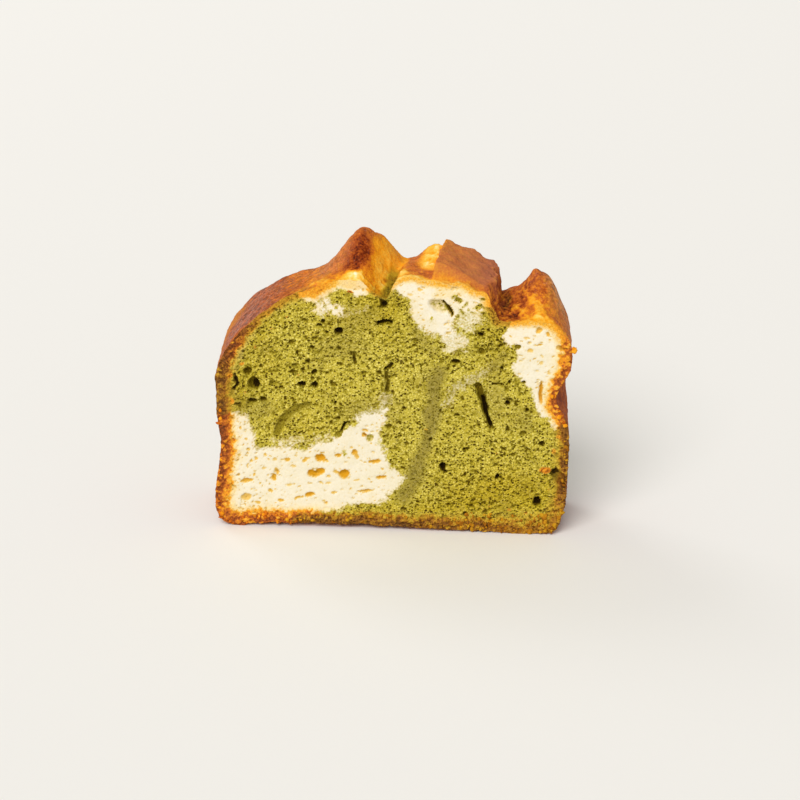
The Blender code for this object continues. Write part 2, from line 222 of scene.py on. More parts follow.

# Holes in the green crumb: x, z, width, height, lean in degrees, darkness of the shade painted in them,
# which also makes them deeper.
GREEN_HOLES = (
    (-34.6, 41.2, 1.8, 2, 0, 0.75), (-33.2, 38.1, 2.8, 2.9, 0, 0.6), (-32.5, 38, 1.5, 2.3, 0, 1),
    (-37.4, 38.6, 1, 2.2, 20, 1), (-26.8, 37.4, 1, 1, 0, 0.8), (-28.6, 38.3, 1.6, 1.3, 0, 0.4),
    (-21.9, 38.5, 2, 1.3, 0, 1), (-18.6, 38.3, 1.8, 1.6, 0, 0.95), (-18.9, 41.5, 1.4, 1.3, 0, 0.9),
    (-21.4, 42.2, 1, 1, 0, 0.8), (-20.4, 44.2, 0.8, 0.9, 0, 0.8), (-23.5, 42.8, 1.5, 1.1, 0, 0.35),
    (-12.9, 52.2, 1.7, 1.9, 0, 1), (-16.9, 54.6, 1, 1, 0, 0.9), (-17.6, 53.7, 1, 0.9, 0, 0.9),
    (-15.8, 52, 1.2, 0.8, 0, 0.9), (-19.4, 47.7, 1.2, 1, 0, 0.8), (-22.8, 46.5, 0.6, 1.1, 0, 0.9),
    (-12.9, 47.9, 0.9, 0.8, 0, 0.8), (-14.8, 47.9, 0.7, 0.7, 0, 0.8), (-9.3, 46.4, 1.8, 1.5, 0, 0.45),
    (-5.4, 45.4, 0.8, 0.6, 0, 0.9), (-3.1, 42, 1.2, 1.1, 0, 0.8), (-13.6, 33.7, 1, 0.9, 0, 1),
    (-7.1, 41.8, 0.7, 0.7, 0, 0.8), (-5, 39.6, 0.9, 0.5, 0, 0.8), (-33.7, 33.8, 2, 1.2, 0, 0.85),
    (-31, 34, 1.8, 1.3, 0, 0.8), (-37.1, 32.7, 1.8, 0.7, 0, 0.8), (-13.3, 29.8, 1.2, 0.6, 0, 0.8),
    (20.5, 52.3, 1.4, 1.1, 0, 1), (20.9, 48.2, 1.6, 1.5, 0, 0.6), (14.8, 45.3, 1.8, 1.4, 0, 0.9),
    (12.9, 46.1, 0.7, 0.7, 0, 0.8), (5, 50.6, 1.8, 0.9, 0, 0.5), (3.1, 45.1, 0.7, 0.7, 0, 0.8),
    (25.8, 44, 0.7, 1, 0, 0.9), (13, 43.5, 0.8, 0.7, 0, 0.8), (27.7, 40.4, 0.8, 1.1, 0, 0.9),
    (31.3, 40.6, 0.8, 0.8, 0, 0.8), (12.5, 17.5, 1.4, 1.9, 10, 1), (13.1, 16.4, 0.8, 1.3, 35, 1),
    (25.9, 15.4, 1.2, 1.5, 0, 1), (35.8, 9, 1.5, 2.2, -15, 1), (39.7, 17.3, 1.6, 1.6, 0, 1),
    (36.1, 24.5, 1.3, 1.2, 0, 0.9), (17.8, 22.3, 1.6, 0.7, -10, 0.9), (15.5, 31.4, 1.3, 0.8, 0, 0.9),
    (11.4, 32.4, 0.7, 1, 0, 0.8), (27.6, 34.9, 1.2, 1.2, 0, 1), (28, 36, 1.4, 1, 0, 0.6),
    (32.5, 33.4, 0.9, 1.1, 0, 0.9), (27.9, 28.2, 0.9, 0.8, 0, 0.8), (1.8, 29, 0.8, 0.6, 0, 0.8),
    (2.8, 32.9, 0.9, 0.9, 0, 0.8), (9.4, 24.7, 0.9, 0.8, 0, 0.8), (18.3, 5.2, 1, 0.8, 0, 0.9),
    (31.6, 27, 1.5, 1.3, 0, 0.5), (27, 22.8, 1, 0.8, 0, 0.8), (3.4, 5.9, 1.5, 0.9, 0, 0.7),
    (10.6, 59.4, 4.8, 2.6, -20, 0.12), (15, 60.8, 2, 1.1, -10, 0.25), (29.3, 49.7, 1.4, 1.1, 0, 0.45),
    (-2.3, 59.2, 1.5, 1.6, 0, 1), (-5.3, 24.7, 1.7, 1.6, 0, 0.18), (-13, 25.6, 1.3, 1.8, -30, 0.35),
    (-10.4, 28.6, 0.7, 0.9, 0, 0.6),
)

# Holes in the cream: x, z, width, height, lean in degrees, darkness of the ochre shade painted in them,
# which also makes them deeper.
CREAM_HOLES = (
    (-17.3, 19, 2.4, 1.7, 0, 1), (-16.2, 18.4, 1.6, 0.7, -15, 0.8), (-19.1, 14.7, 2.4, 1.9, 0, 1),
    (-17, 15.4, 2.2, 1.5, 0, 1), (-18, 14.8, 3.6, 1.2, 8, 0.9), (-11.4, 14.7, 2.4, 2.3, 0, 1),
    (-13, 15.4, 1.6, 0.8, -20, 0.7), (-8.8, 20.9, 1.8, 1.3, 0, 0.9), (-8.2, 19.8, 0.8, 1.6, 10, 0.7),
    (-12.9, 19.7, 1.6, 0.8, 0, 0.9), (-4.1, 18.5, 3, 0.8, 5, 0.9), (-2.4, 14.2, 2.4, 0.9, 18, 0.9),
    (-21, 18.3, 1.3, 0.8, 0, 0.7), (-28.4, 13.4, 1.2, 1.2, 0, 0.9), (-27.7, 15, 0.8, 2, 20, 0.7),
    (-35.2, 12.4, 3, 0.9, 12, 0.8), (-35.3, 7.9, 2.4, 1.7, 0, 0.5), (-29.3, 9.8, 1.3, 0.7, 0, 0.7),
    (-19.8, 9, 2.2, 1.4, 15, 0.95), (-22.4, 8.2, 2.4, 0.6, 22, 0.7), (-6.2, 10.4, 4, 0.8, 6, 0.7),
    (-13.6, 9.8, 1.3, 0.6, 0, 0.7), (-26.8, 7.2, 1.5, 0.8, 0, 0.8), (-32.4, 6.4, 1.3, 0.6, 0, 0.6),
    (-32.9, 18.3, 0.9, 0.8, 0, 0.6), (-34.5, 20.8, 0.8, 0.8, 0, 0.6), (-28.2, 18.2, 1, 0.8, 0, 0.4),
    (-6.6, 25.7, 1.1, 0.9, 0, 0.9), (34.3, 54, 1.6, 1.3, 0, 0.7), (36.4, 53.1, 0.7, 1.1, 0, 0.8),
    (32.2, 48.7, 1.5, 1, 0, 0.5), (39.1, 49.8, 1.5, 1.3, 0, 0.6), (-31, 16, 1.1, 0.6, 0, 0.5),
    (-24.6, 11.6, 1.8, 0.6, 5, 0.4), (-15.2, 12.4, 1.4, 0.6, 0, 0.4), (-8.2, 13.4, 1.6, 0.5, 5, 0.5),
    (-24, 16.6, 1.5, 0.6, -5, 0.4), (3.6, 62, 1.2, 0.7, 0, 0.4), (6, 63.4, 1.3, 0.6, 0, 0.5),
    (31, 51.8, 1, 0.7, 0, 0.4), (35, 45.8, 0.9, 0.9, 0, 0.4), (37, 43.4, 0.8, 1.2, 10, 0.5),
    (35.4, 38, 1, 5.8, 0, 0.95), (-36.4, 26.4, 0.6, 0.7, 0, 0.7), (-35.2, 23.4, 0.7, 0.6, 0, 0.7),
    (-38, 24, 0.6, 0.7, 0, 0.7), (-36.8, 19.2, 0.7, 0.6, 0, 0.7), (-30.6, 19.4, 0.7, 0.8, 0, 0.6),
    (-25.2, 18.4, 1.3, 0.8, 0, 0.8), (-20.4, 18.8, 1.4, 0.7, -10, 0.6), (-33.4, 14.2, 0.7, 0.7, 0, 0.7),
)

# Browning round the front cut: x, z on the outline, width, tone at the edge, reach of the golden tint.
FACE_CRUST = (
    (-36, 0, 3.9, 0.66, 6.4), (-26, 0, 3.6, 0.66, 5.4), (-14, 0, 3.6, 0.66, 4.4), (0, 0, 3.4, 0.64, 4.4),
    (20, 0, 3.6, 0.6, 5.4), (34, 0, 4, 0.54, 7), (41, 4.8, 3.8, 0.56, 6.6), (42, 9.8, 2.8, 0.64, 5.4),
    (42.6, 16.8, 2.4, 0.66, 4.6), (42.6, 24.8, 2.6, 0.64, 4.6), (40.6, 31.8, 3, 0.64, 4.6),
    (39.4, 36.8, 2.8, 0.62, 4.6), (41.8, 42.8, 3.2, 0.68, 4.6), (42.5, 47.8, 3.2, 0.66, 4.6),
    (41, 53.8, 2.2, 0.5, 4), (36, 57.8, 1.3, 0.36, 2.6), (30, 57.8, 1.3, 0.36, 2.4),
    (26.4, 57.3, 1.6, 0.44, 2.6), (24.2, 59.6, 1.8, 0.46, 3), (22, 61.8, 1.4, 0.36, 3.2),
    (20, 63.8, 1.4, 0.4, 2.8), (16, 64.8, 1.1, 0.34, 2.4), (8, 66.3, 0.9, 0.24, 2.2),
    (2, 66.8, 1, 0.28, 2.2), (-0.4, 63.8, 0.9, 0.32, 1.5), (-1.8, 61.4, 0.8, 0, 0.4),
    (-3.6, 62.2, 0.9, 0.4, 1.2), (-5.6, 64.4, 0.9, 0.44, 1.6), (-8, 65.8, 0.8, 0.12, 0.8),
    (-12, 66.2, 1, 0.16, 1), (-14.6, 65.6, 1.6, 0.34, 2.6), (-17, 64.2, 3.4, 0.46, 5),
    (-20, 62.6, 3.4, 0.48, 4.4), (-22.4, 61, 2.2, 0.47, 2), (-28, 57.6, 2.2, 0.46, 2),
    (-32, 53.8, 2.2, 0.54, 2), (-36, 49.8, 2.6, 0.7, 3.6), (-40, 43.8, 3.6, 0.66, 4.8),
    (-42.3, 36.8, 4, 0.66, 5.4), (-41.6, 28.8, 3.8, 0.72, 5.8), (-41, 18.8, 3.7, 0.7, 6.2),
    (-42.4, 8.8, 3.8, 0.68, 6.4),
)

# Places where browned green crumb keeps no moss tone: x, z, spread x, spread z, amount.
BARE_PLACES = (
    (-27, 57, 6, 4, 0.2), (-37, 47, 4, 4.6, 0.85), (-19, 62, 3, 3, 0.9),
)

# Baked specks on the front cut: x, z, spread x, spread z, tone.
BAKED_SPOTS = (
    (-10.5, 62.3, 0.7, 0.35, 0.86), (37.4, 17.5, 1.7, 1.2, 0.5), (-6.4, 25.6, 0.5, 0.35, 0.48),
    (25.4, 21.6, 0.4, 0.4, 0.36), (8.2, 27.4, 0.5, 0.4, 0.32), (40, 26.6, 0.7, 0.6, 0.44),
    (39.2, 22.6, 0.6, 0.8, 0.42), (-36, 43.2, 0.7, 0.5, 0.5), (-38.4, 33.4, 0.5, 0.9, 0.44),
    (-35.2, 35.8, 0.5, 0.4, 0.4), (-39, 40.2, 0.9, 0.7, 0.48), (-22.6, 40.8, 0.3, 0.3, 0.4),
    (-29, 52.4, 0.45, 0.3, 0.4), (-25.4, 55.6, 0.4, 0.3, 0.42), (-32.8, 47.6, 0.5, 0.6, 0.38),
    (33.2, 5.8, 0.5, 0.4, 0.42), (29, 6.6, 0.6, 0.4, 0.4), (24, 7.4, 0.4, 0.4, 0.36),
    (-9.3, 64.9, 4.6, 2.4, 0.22),
)

# Tones of the crown: name, x on the front line, y, browning, duskiness, olive, gloss, spread x, y.
CROWN_TONES = (
    ("far left lip", -41.5, -4, 0.66, 0.4, 0.1, 0.4, 1.5, 9),
    ("left flank, tan rim at the back", -39.6, 5.6, 0.56, 0.34, 0.16, 0.2, 2.6, 3.4),
    ("left flank, red lip", -37.4, -9.4, 0.66, 0, 0, 0.2, 3.4, 1),
    ("left flank", -38.5, -4, 0.78, 0.75, 0, 0.9, 2.4, 4.6),
    ("left flank, dusky", -34.5, -3, 0.8, 0.8, 0, 1, 3, 7),
    ("left flank, back", -32.5, 6, 0.74, 0.75, 0, 0.9, 2.4, 5),
    ("shoulder", -29.5, -4, 0.72, 0.26, 0, 0.8, 2.6, 5),
    ("shoulder, back", -29, 5, 0.7, 0.28, 0, 0.8, 3, 5),
    ("shoulder lip, olive", -22.4, -9.2, 0.54, 0.1, 0.46, 0.2, 1.6, 2),
    ("shoulder lip, left olive", -30, -9.9, 0.56, 0.1, 0.42, 0.2, 6, 0.8),
    ("shoulder, right", -25, -6, 0.72, 0.08, 0, 0.5, 2.2, 3.6),
    ("shoulder, right back", -24, 4, 0.62, 0.12, 0, 0.6, 2.4, 6),
    ("hollow left of the peak", -20.5, -4, 0.58, 0.12, 0, 0.5, 2, 5),
    ("orange foot", -18, -7.5, 0.5, 0.1, 0, 0.2, 2, 2.6),
    ("left of the peak, pink", -16.5, 2, 0.56, 0.6, 0, 0.6, 2.4, 4),
    ("peak, left face", -13.8, -1, 0.62, 0.45, 0, 0.5, 1.8, 3),
    ("peak, left foot", -14, -7.5, 0.52, 0, 0, 0.1, 2, 2.6),
    ("peak, dark middle", -9.2, -2.6, 0.9, 0, 0, 0.2, 2.2, 3),
    ("peak, dark foot", -11.4, -5.4, 0.84, 0, 0, 0.2, 2.6, 1.8),
    ("peak, summit", -9.6, 3.4, 0.66, 0.2, 0, 0.4, 2.6, 2.4),
    ("peak, back", -10, 8.5, 0.66, 0.35, 0, 0.4, 4, 3),
    ("peak, pale foot", -9.4, -9.5, 0.15, 0, 0, 0, 3, 1.3),
    ("peak, right face", -5.6, -2, 0.4, 0, 0, 0, 1.7, 7),
    ("peak, right foot", -6.4, -7.4, 0.5, 0, 0, 0, 1.6, 1.6),
    ("cleft wall", -4.2, 2, 0.36, 0, 0, 0, 1, 7),
    ("cleft, olive", -2.2, -6, 0.6, 0, 1, 0, 1, 3.4),
    ("cleft, mouth", -2.8, -9.8, 0.6, 0, 1, 0, 1.9, 2),
    ("left of the cleft, orange", -5, -8.6, 0.46, 0, 0.15, 0, 1.2, 1.8),
    ("cleft, middle", -2.2, -1.6, 0.52, 0, 0.7, 0, 0.9, 2.2),
    ("cleft, back", -1.8, 5, 0.4, 0, 0, 0, 1.2, 4),
    ("block, golden lip", 0.6, -7, 0.24, 0, 0, 0.1, 1, 4),
    ("block, golden front", 2.4, -9.6, 0.16, 0, 0, 0, 4.6, 1),
    ("block, orange", 4.2, -5, 0.58, 0.2, 0, 0.2, 2.2, 3.4),
    ("block, brown bump", 2.2, -0.6, 0.64, 0.35, 0, 0.4, 1.5, 2.2),
    ("block, right bump", 6.2, -3.6, 0.64, 0.3, 0, 0.4, 1.6, 1.8),
    ("block, back strip", 1.6, 6.6, 0.62, 0.32, 0, 0.4, 1.5, 4.4),
    ("torn crumb", 6, 6.6, 0.27, 0, 0, 0, 2.6, 4.4),
    ("torn crumb, foot", 7, 1.4, 0.36, 0, 0, 0, 1.2, 1.6),
    ("slab, left", 12, 1, 0.57, 0.62, 0, 0.05, 3.4, 9),
    ("slab, middle", 17.5, 0, 0.57, 0.8, 0, 0.05, 3.4, 9),
    ("slab, right", 22.2, 1, 0.72, 0.98, 0, 0.1, 2, 8),
    ("slab, front wall left", 11.6, -7.9, 0.5, 0.46, 0, 0.05, 2.6, 0.5),
    ("slab, front wall", 16, -7.9, 0.56, 0.46, 0, 0.05, 3.6, 0.5),
    ("slab, front wall right", 21.6, -8.1, 0.64, 0.12, 0, 0.05, 2.6, 0.5),
    ("slab, rim", 15, -8.7, 0.52, 0.05, 0, 0.1, 7, 0.34),
    ("under the slab, left", 8.5, -9.5, 0.26, 0, 0, 0, 2.6, 0.7),
    ("under the slab, cream", 15.6, -9.6, 0.24, 0, 0, 0, 3.6, 0.6),
    ("under the slab, cream right", 21, -9.6, 0.34, 0, 0, 0, 1.8, 0.6),
    ("under the slab, dark right", 23.8, -7.4, 0.78, 0, 0.15, 0, 1.7, 3),
    ("notch wall", 24.6, 2, 0.77, 0.05, 0.15, 0.1, 1.2, 8),
    ("notch, olive", 26.6, 0.6, 0.74, 0.1, 0.45, 0.1, 0.7, 2.2),
    ("notch, dark", 26.8, -4.6, 0.8, 0.05, 0.1, 0.1, 2.6, 3.4),
    ("notch, front", 26.6, -9.7, 0.5, 0, 0.15, 0, 1.6, 0.6),
    ("right of the notch", 29.6, 2, 0.7, 0.1, 0, 0.2, 1.4, 6),
    ("right peak, front", 33, -5.2, 0.53, 0.05, 0, 0.2, 3.2, 2.2),
    ("right peak, face", 32.8, -1.6, 0.64, 0.1, 0, 0.2, 2.6, 2),
    ("right peak, summit", 32.6, 3, 0.7, 0.3, 0, 0.3, 1.8, 2),
    ("right peak, back", 34, 8.4, 0.68, 0.3, 0, 0.4, 4, 3),
    ("right peak, pit", 32.2, -2.6, 0.84, 0, 0, 0, 0.5, 0.5),
    ("right peak, other pit", 35.2, -2.2, 0.82, 0, 0, 0, 0.5, 0.5),
    ("right rim", 38.4, 4, 0.5, 0.6, 0, 0.9, 2.2, 6),
    ("right rim, front", 39, -5.6, 0.6, 0.25, 0, 0.3, 2, 3.6),
    ("right shoulder, front", 35, -9.6, 0.36, 0, 0, 0.1, 5, 0.9),
    ("far right", 41.6, 0, 0.6, 0.3, 0, 0.6, 1.2, 9),
)
# The same four tones where none of those reaches, and those of the sides, which take over between
# these distances below the ends of the crown.
OTHER_TONES = (0.6, 0.2, 0.0, 0.2)
SIDE_TONES = (0.78, 0.20, 0.0, 0.15)
SIDE_BLEND = (-1.0, 9.0)

# Crumbly places of the crown: x on the front line, y, spread x, spread y, height of the lumps.
CRUMBLY_SPOTS = (
    (26.6, -5, 3, 4.6, 0.8), (26.4, 5, 1.9, 5, 0.55), (30.4, -1.2, 2.2, 3.6, 0.5),
    (33.8, -5, 3.4, 3.2, 0.36), (33, 2, 2.4, 3, 0.34), (24, -2, 1.4, 9, 0.8),
    (-8.6, -8.6, 5.4, 1.8, 0.42), (-10, -3, 3.2, 3.2, 0.26), (-18.6, -8, 3.4, 2.2, 0.34),
    (-2.6, -4, 1.7, 5, 0.6), (6.6, 5, 2.8, 5, 0.5), (3, -5, 3.4, 4, 0.34), (16, -9.4, 8, 1, 0.26),
    (-24, -8.8, 4, 1.6, 0.3), (-6, -2, 2, 6, 0.1), (36, -9, 5, 1.4, 0.24),
)

# How high the gnawed edge of the base arches at the cuts: x, height; and how far in the arch goes.
BASE_ARCH = (
    (-36, 0), (-32, 0.6), (-24, 1), (-8, 1.2), (2, 0.8), (10, 0.5), (20, 0.5), (26, 0.1), (32, 0),
)
BASE_ARCH_REACH = 5.0

# Grains that stand out of the ragged edges: places on the outline, how far in from it, share.
GRAIN_STRIPS = (
    ("base", (0, 1), (0.1, 3), 0.2),
    ("base, right", (0.7, 1.1), (0.1, 5), 0.18),
    ("right side", (1.05, 1.9), (0.05, 1.2), 0.1),
    ("left side", (3.1, 3.95), (0.05, 1), 0.06),
)
GRAIN_RINGS = 5
GRAIN_SEGMENTS = 8

# Grains: seed, how deep their middles lie behind the cut, smallest radius and how much more as multiples
# of the grain size, browning, stretch.
GRAIN_SEED = 11
GRAIN_SINK = (-0.05, 0.15)
GRAIN_RADII = (0.6, 1.6)
GRAIN_TONES = (0.40, 0.72)
GRAIN_STRETCH = (0.6, 1.5)
# The golden crumb on the right edge: x, y, z, radius; and its browning.
GOLDEN_CRUMB = (42.7, -9.6, 49.0, 0.75)
GOLDEN_CRUMB_TONE = 0.42

# Layers of round pores: scale across, squeeze in height on the smooth part, spacing, share of the cells
# that have one, smallest and largest radius, stretch, lean in radians.
GREEN_PORES = (
    (1.0, 0.3, 0.84, 0.62, (0.14, 0.30), 1.0, 0.0),
    (1.0, 0.2, 1.5, 0.50, (0.20, 0.46), 0.8, 0.2),
    (1.0, 0.0, 3.3, 0.40, (0.32, 0.62), 0.6, 0.0),
)
CREAM_PORES = (
    (0.6, 0.0, 0.8, 0.26, (0.10, 0.22), 0.8, 0.0),
    (0.6, 0.0, 2.1, 0.40, (0.16, 0.36), 0.7, 0.0),
    (1.0, 0.0, 1.15, 0.55, (0.14, 0.30), 0.3, 0.0),
)
# Lumps of the browned edges: spacing, share, radii, stretch, lean.
EDGE_LUMPS = (1.6, 0.85, (0.36, 0.85), 0.7, 0.3)
# Winding gaps between the green crumb's pores: size, squeeze, depth, darkness of the shade painted in them.
WINDING_GAPS = (0.95, 0.3, 0.16, 0.62)

# How wide and how deep the listed holes are made: green, then cream.
GREEN_HOLE_GROWTH = (1.15, 1.0)
CREAM_HOLE_GROWTH = (1.12, 0.45)

# The back cut's holes: seed, how many, margin at the sides, lowest and highest z, widths, height as a
# share of width, least depth under the crown, least gap between two, darkness of the shade painted in them.
BACK_HOLE_SEED = 7
BACK_HOLE_COUNT = 34
BACK_HOLE_MARGIN = 6.0
BACK_HOLE_HEIGHTS = (5.0, 58.0)
BACK_HOLE_WIDTHS = (1.5, 3.4)
BACK_HOLE_FLATNESS = (0.45, 1.0)
BACK_HOLE_COVER = 6.0
BACK_HOLE_GAP = 1.2
BACK_HOLE_DARKNESS = 0.85

# Browning of the golden tint inside the browned edges, and of the specks at the lower right.
GOLDEN_TONE = 0.34
SPECK_TONE = 0.5

# The camera, worked out from the photo: pitch, yaw and roll in degrees; place, lens and sensor in
# millimetres; nearest and farthest distance in metres.
CAMERA_ANGLES = (24.0, -1.0, 1.3)
CAMERA_PLACE = (9.870, -471.931, 240.703)
CAMERA_LENS = 95.175
CAMERA_SENSOR = 36.0
CAMERA_CLIP = (0.01, 50.0)


def tint(red, green, blue):
    """Linear colour of a screen colour given as 0 to 255: each channel to the power 2.2."""
    return tuple((channel / 255.0) ** 2.2 for channel in (red, green, blue))


class SliceSizes(bpy.types.PropertyGroup):
    """Sizes of the meshes and their relief."""

    face_columns: bpy.props.IntProperty(
        name="Face columns", description="Cells across a cut face", default=352, min=20
    )
    face_rows: bpy.props.IntProperty(
        name="Face rows", description="Cells up a cut face", default=232, min=20
    )
    skin_rows: bpy.props.IntProperty(
        name="Skin rows", description="Cells of the crust from cut to cut", default=76, min=8
    )
    pore_depth: bpy.props.FloatProperty(
        name="Pore depth", description="Depth of a pore as a multiple of its radius", default=1.5, min=0.1
    )
    crumb_relief: bpy.props.FloatProperty(
        name="Crumb relief",
        description="Height of the crumb's bumps",
        default=0.00016,
        unit="LENGTH",
    )
    crust_relief: bpy.props.FloatProperty(
        name="Crust relief",
        description="Height of the crust's bumps",
        default=0.00022,
        unit="LENGTH",
    )
    edge_fade: bpy.props.FloatProperty(
        name="Edge fade",
        description="Width over which relief dies away at the edge of a cut",
        default=0.0006,
        unit="LENGTH",
    )
    grains: bpy.props.IntProperty(
        name="Grains", description="Number of grains on the ragged edges", default=560, min=0
    )
    grain_size: bpy.props.FloatProperty(
        name="Grain size", description="Usual radius of a grain", default=0.00026, unit="LENGTH"
    )


class CakeColours(bpy.types.PropertyGroup):
    """Colours of the crumb and the crust."""

    # Light green shows on the middles of lumps; deep green along the lines between them, as painted shade,
    # and in the crumb's own darker speckles and clouds.
    green_light: bpy.props.FloatVectorProperty(
        name="Light green",
        description="Green crumb in the light",
        subtype="COLOR",
        default=tint(244, 228, 117),
    )
    green_deep: bpy.props.FloatVectorProperty(
        name="Deep green",
        description="Green crumb between pores",
        subtype="COLOR",
        default=tint(190, 171, 53),
    )
    green_pale: bpy.props.FloatVectorProperty(
        name="Pale green", description="Smooth greyer crumb", subtype="COLOR", default=tint(156, 140, 62)
    )
    cream_light: bpy.props.FloatVectorProperty(
        name="Light cream", description="Cream crumb", subtype="COLOR", default=tint(245, 233, 206)
    )
    cream_deep: bpy.props.FloatVectorProperty(
        name="Deep cream", description="Warmer cream crumb", subtype="COLOR", default=tint(243, 220, 163)
    )


class StageLook(bpy.types.PropertyGroup):
    """Floor and light."""

    floor_size: bpy.props.FloatProperty(
        name="Floor size", description="Width of the floor", default=12.0, unit="LENGTH"
    )
    floor_colour: bpy.props.FloatVectorProperty(
        name="Floor colour", description="Pale floor", subtype="COLOR", default=(0.85, 0.835, 0.80)
    )
    key_strength: bpy.props.FloatProperty(
        name="Key strength", description="Strength of the soft front sun", default=2.3, min=0.0
    )
    rim_power: bpy.props.FloatProperty(
        name="Back power",
        description="Power of the light behind the left shoulder",
        default=8.0,
        unit="POWER",
    )
    sky_strength: bpy.props.FloatProperty(
        name="Sky strength", description="Strength of the even light", default=0.42, min=0.0
    )


def bell(offset, spread):
    """A smooth bump: 1 at no offset, falling as the bell curve of offset over spread."""
    return np.exp(-((offset / spread) ** 2))


def add_bells(total, x, y, rows):
    """Total plus the rows' bumps, each its amount times a bell in x and one in y. A row is x, y, spread
    x, spread y, amount."""
    for at_x, at_y, spread_x, spread_y, amount in rows:
        total = total + amount * bell(x - at_x, spread_x) * bell(y - at_y, spread_y)
    return total


def ease(value, start, end):
    """0 at start and 1 at end, with a smooth S between them: 3 s squared less 2 s cubed."""
    share = np.clip((value - start) / (end - start), 0.0, 1.0)
    return share * share * (3.0 - 2.0 * share)


def between(pair, share):
    """The value that lies share of the way from the first of the pair to the second."""
    return pair[0] + (pair[1] - pair[0]) * share


def back_share(y):
    """0 at the front cut and 1 at the back cut."""
    return y / THICKNESS + 0.5


def corner_inset(z, radius):
    """How far a rounded base corner pulls its side in at height z: a quarter circle."""
    level = np.clip(1.0 - z / radius, 0.0, 1.0)
    return radius * (1.0 - np.sqrt(1.0 - level * level))


def left_side(z):
    """X of the left side: the half width less the corner, the lean and a wide waist."""
    inset = corner_inset(z, LEFT_CORNER) + SIDE_LEAN * z / LEFT_SIDE_TOP
    inset = inset + LEFT_WAIST_DEPTH * bell(z - LEFT_WAIST_HEIGHT, LEFT_WAIST_SPREAD)
    return inset - HALF_WIDTH


def right_side(z, y):
    """X of the right side: it draws in towards the base and has a dent, which fills out behind."""
    dent = RIGHT_WAIST_DEPTH * between((1.0, RIGHT_WAIST_AT_BACK), ease(back_share(y), 0.0, 0.6))
    inset = corner_inset(z, RIGHT_CORNER) + SIDE_LEAN * z / RIGHT_SIDE_TOP
    inset = inset + RIGHT_FOOT_INSET * (1.0 - ease(z, 0.0, RIGHT_FOOT_HEIGHT))
    inset = inset + dent * bell(z - RIGHT_WAIST_HEIGHT, RIGHT_WAIST_SPREAD)
    return HALF_WIDTH - inset


def cleft_inset(front_x, y):
    """Depth of the crack in the crown, gentle on its left side and steep on its right."""
    offset = front_x - CLEFT_X
    spread = np.where(offset < 0.0, CLEFT_LEFT_SPREAD, CLEFT_RIGHT_SPREAD)
    return between(CLEFT_DEPTH, back_share(y)) * bell(offset, spread)


def slab_mask(front_x, y):
    """1 on the raised slab and 0 off it, with steep edges on its left, right and front."""
    left = ease(front_x, SLAB_LEFT - SLAB_EDGE, SLAB_LEFT)
    right_edge = between(SLAB_RIGHT, back_share(y))
    right = 1.0 - ease(front_x, right_edge - SLAB_EDGE, right_edge)
    return left * right * ease(y, SLAB_FRONT - SLAB_EDGE, SLAB_FRONT)


def drifted(front_x, y):
    """X at depth y of the line that starts at front_x: right by the drift, and a sway at the slab."""
    drift = CRACK_DRIFT * back_share(y) * bell(front_x, CRACK_DRIFT_SPREAD)
    sway = SLAB_RAGGED * np.sin(y * math.tau / SLAB_RAGGED_WAVE)
    return front_x + drift + sway * bell(front_x - between(SLAB_RIGHT, back_share(y)), SLAB_RAGGED_SPREAD)


def crags(x, y):
    """Uneven crust: a sum of sine waves, each with its own wavelength and heading."""
    height = np.zeros(np.broadcast(x, y).shape)
    for length, heading, size in CRAGS:
        turn = math.radians(heading)
        along = x * math.cos(turn) + y * math.sin(turn)
        height = height + size * np.sin(along * math.tau / length + heading)
    return height


def crown(front_x, y):
    """Height of the crown on the line that starts at front_x, at depth y: rounded shoulders times a
    level with a step, plus humps, less the cleft, raised to the slab where its mask is 1."""
    x = drifted(front_x, y)
    share = back_share(y)
    left_end = left_side(LEFT_SIDE_TOP)
    right_end = right_side(RIGHT_SIDE_TOP, y)
    reach = np.clip((LEFT_SHOULDER_END - x) / (LEFT_SHOULDER_END - left_end), 0.0, 1.0)
    power = between(LEFT_SHOULDER_POWER, share)
    left_form = (1.0 - reach**power) ** (1.0 / power)
    reach = np.clip((x - RIGHT_SHOULDER_START) / (right_end - RIGHT_SHOULDER_START), 0.0, 1.0)
    right_form = np.sqrt(1.0 - reach * reach)

    left_level = LEFT_SIDE_TOP + between(LEFT_SHOULDER_RISE, share)
    middle_level = LEFT_SIDE_TOP + LEFT_SHOULDER_RISE[0]
    level = left_level + (middle_level - left_level) * ease(x, *LEVEL_BLEND)
    level = level - STEP_DROP * ease(x, STEP_START, STEP_END)
    level = add_bells(level, x, y, (row[1:] for row in HUMPS))
    level = level - cleft_inset(front_x, y)
    slab = SLAB_HEIGHT + SLAB_SLOPE * (x - SLAB_LEFT) + SLAB_RISE * share
    level = level + slab_mask(front_x, y) * (slab - level)
    level = level + crags(x, y)

    across = ease(x, LEFT_SHOULDER_END, RIGHT_SHOULDER_START)
    side_top = LEFT_SIDE_TOP + (RIGHT_SIDE_TOP - LEFT_SIDE_TOP) * across
    return side_top + (level - side_top) * left_form * right_form


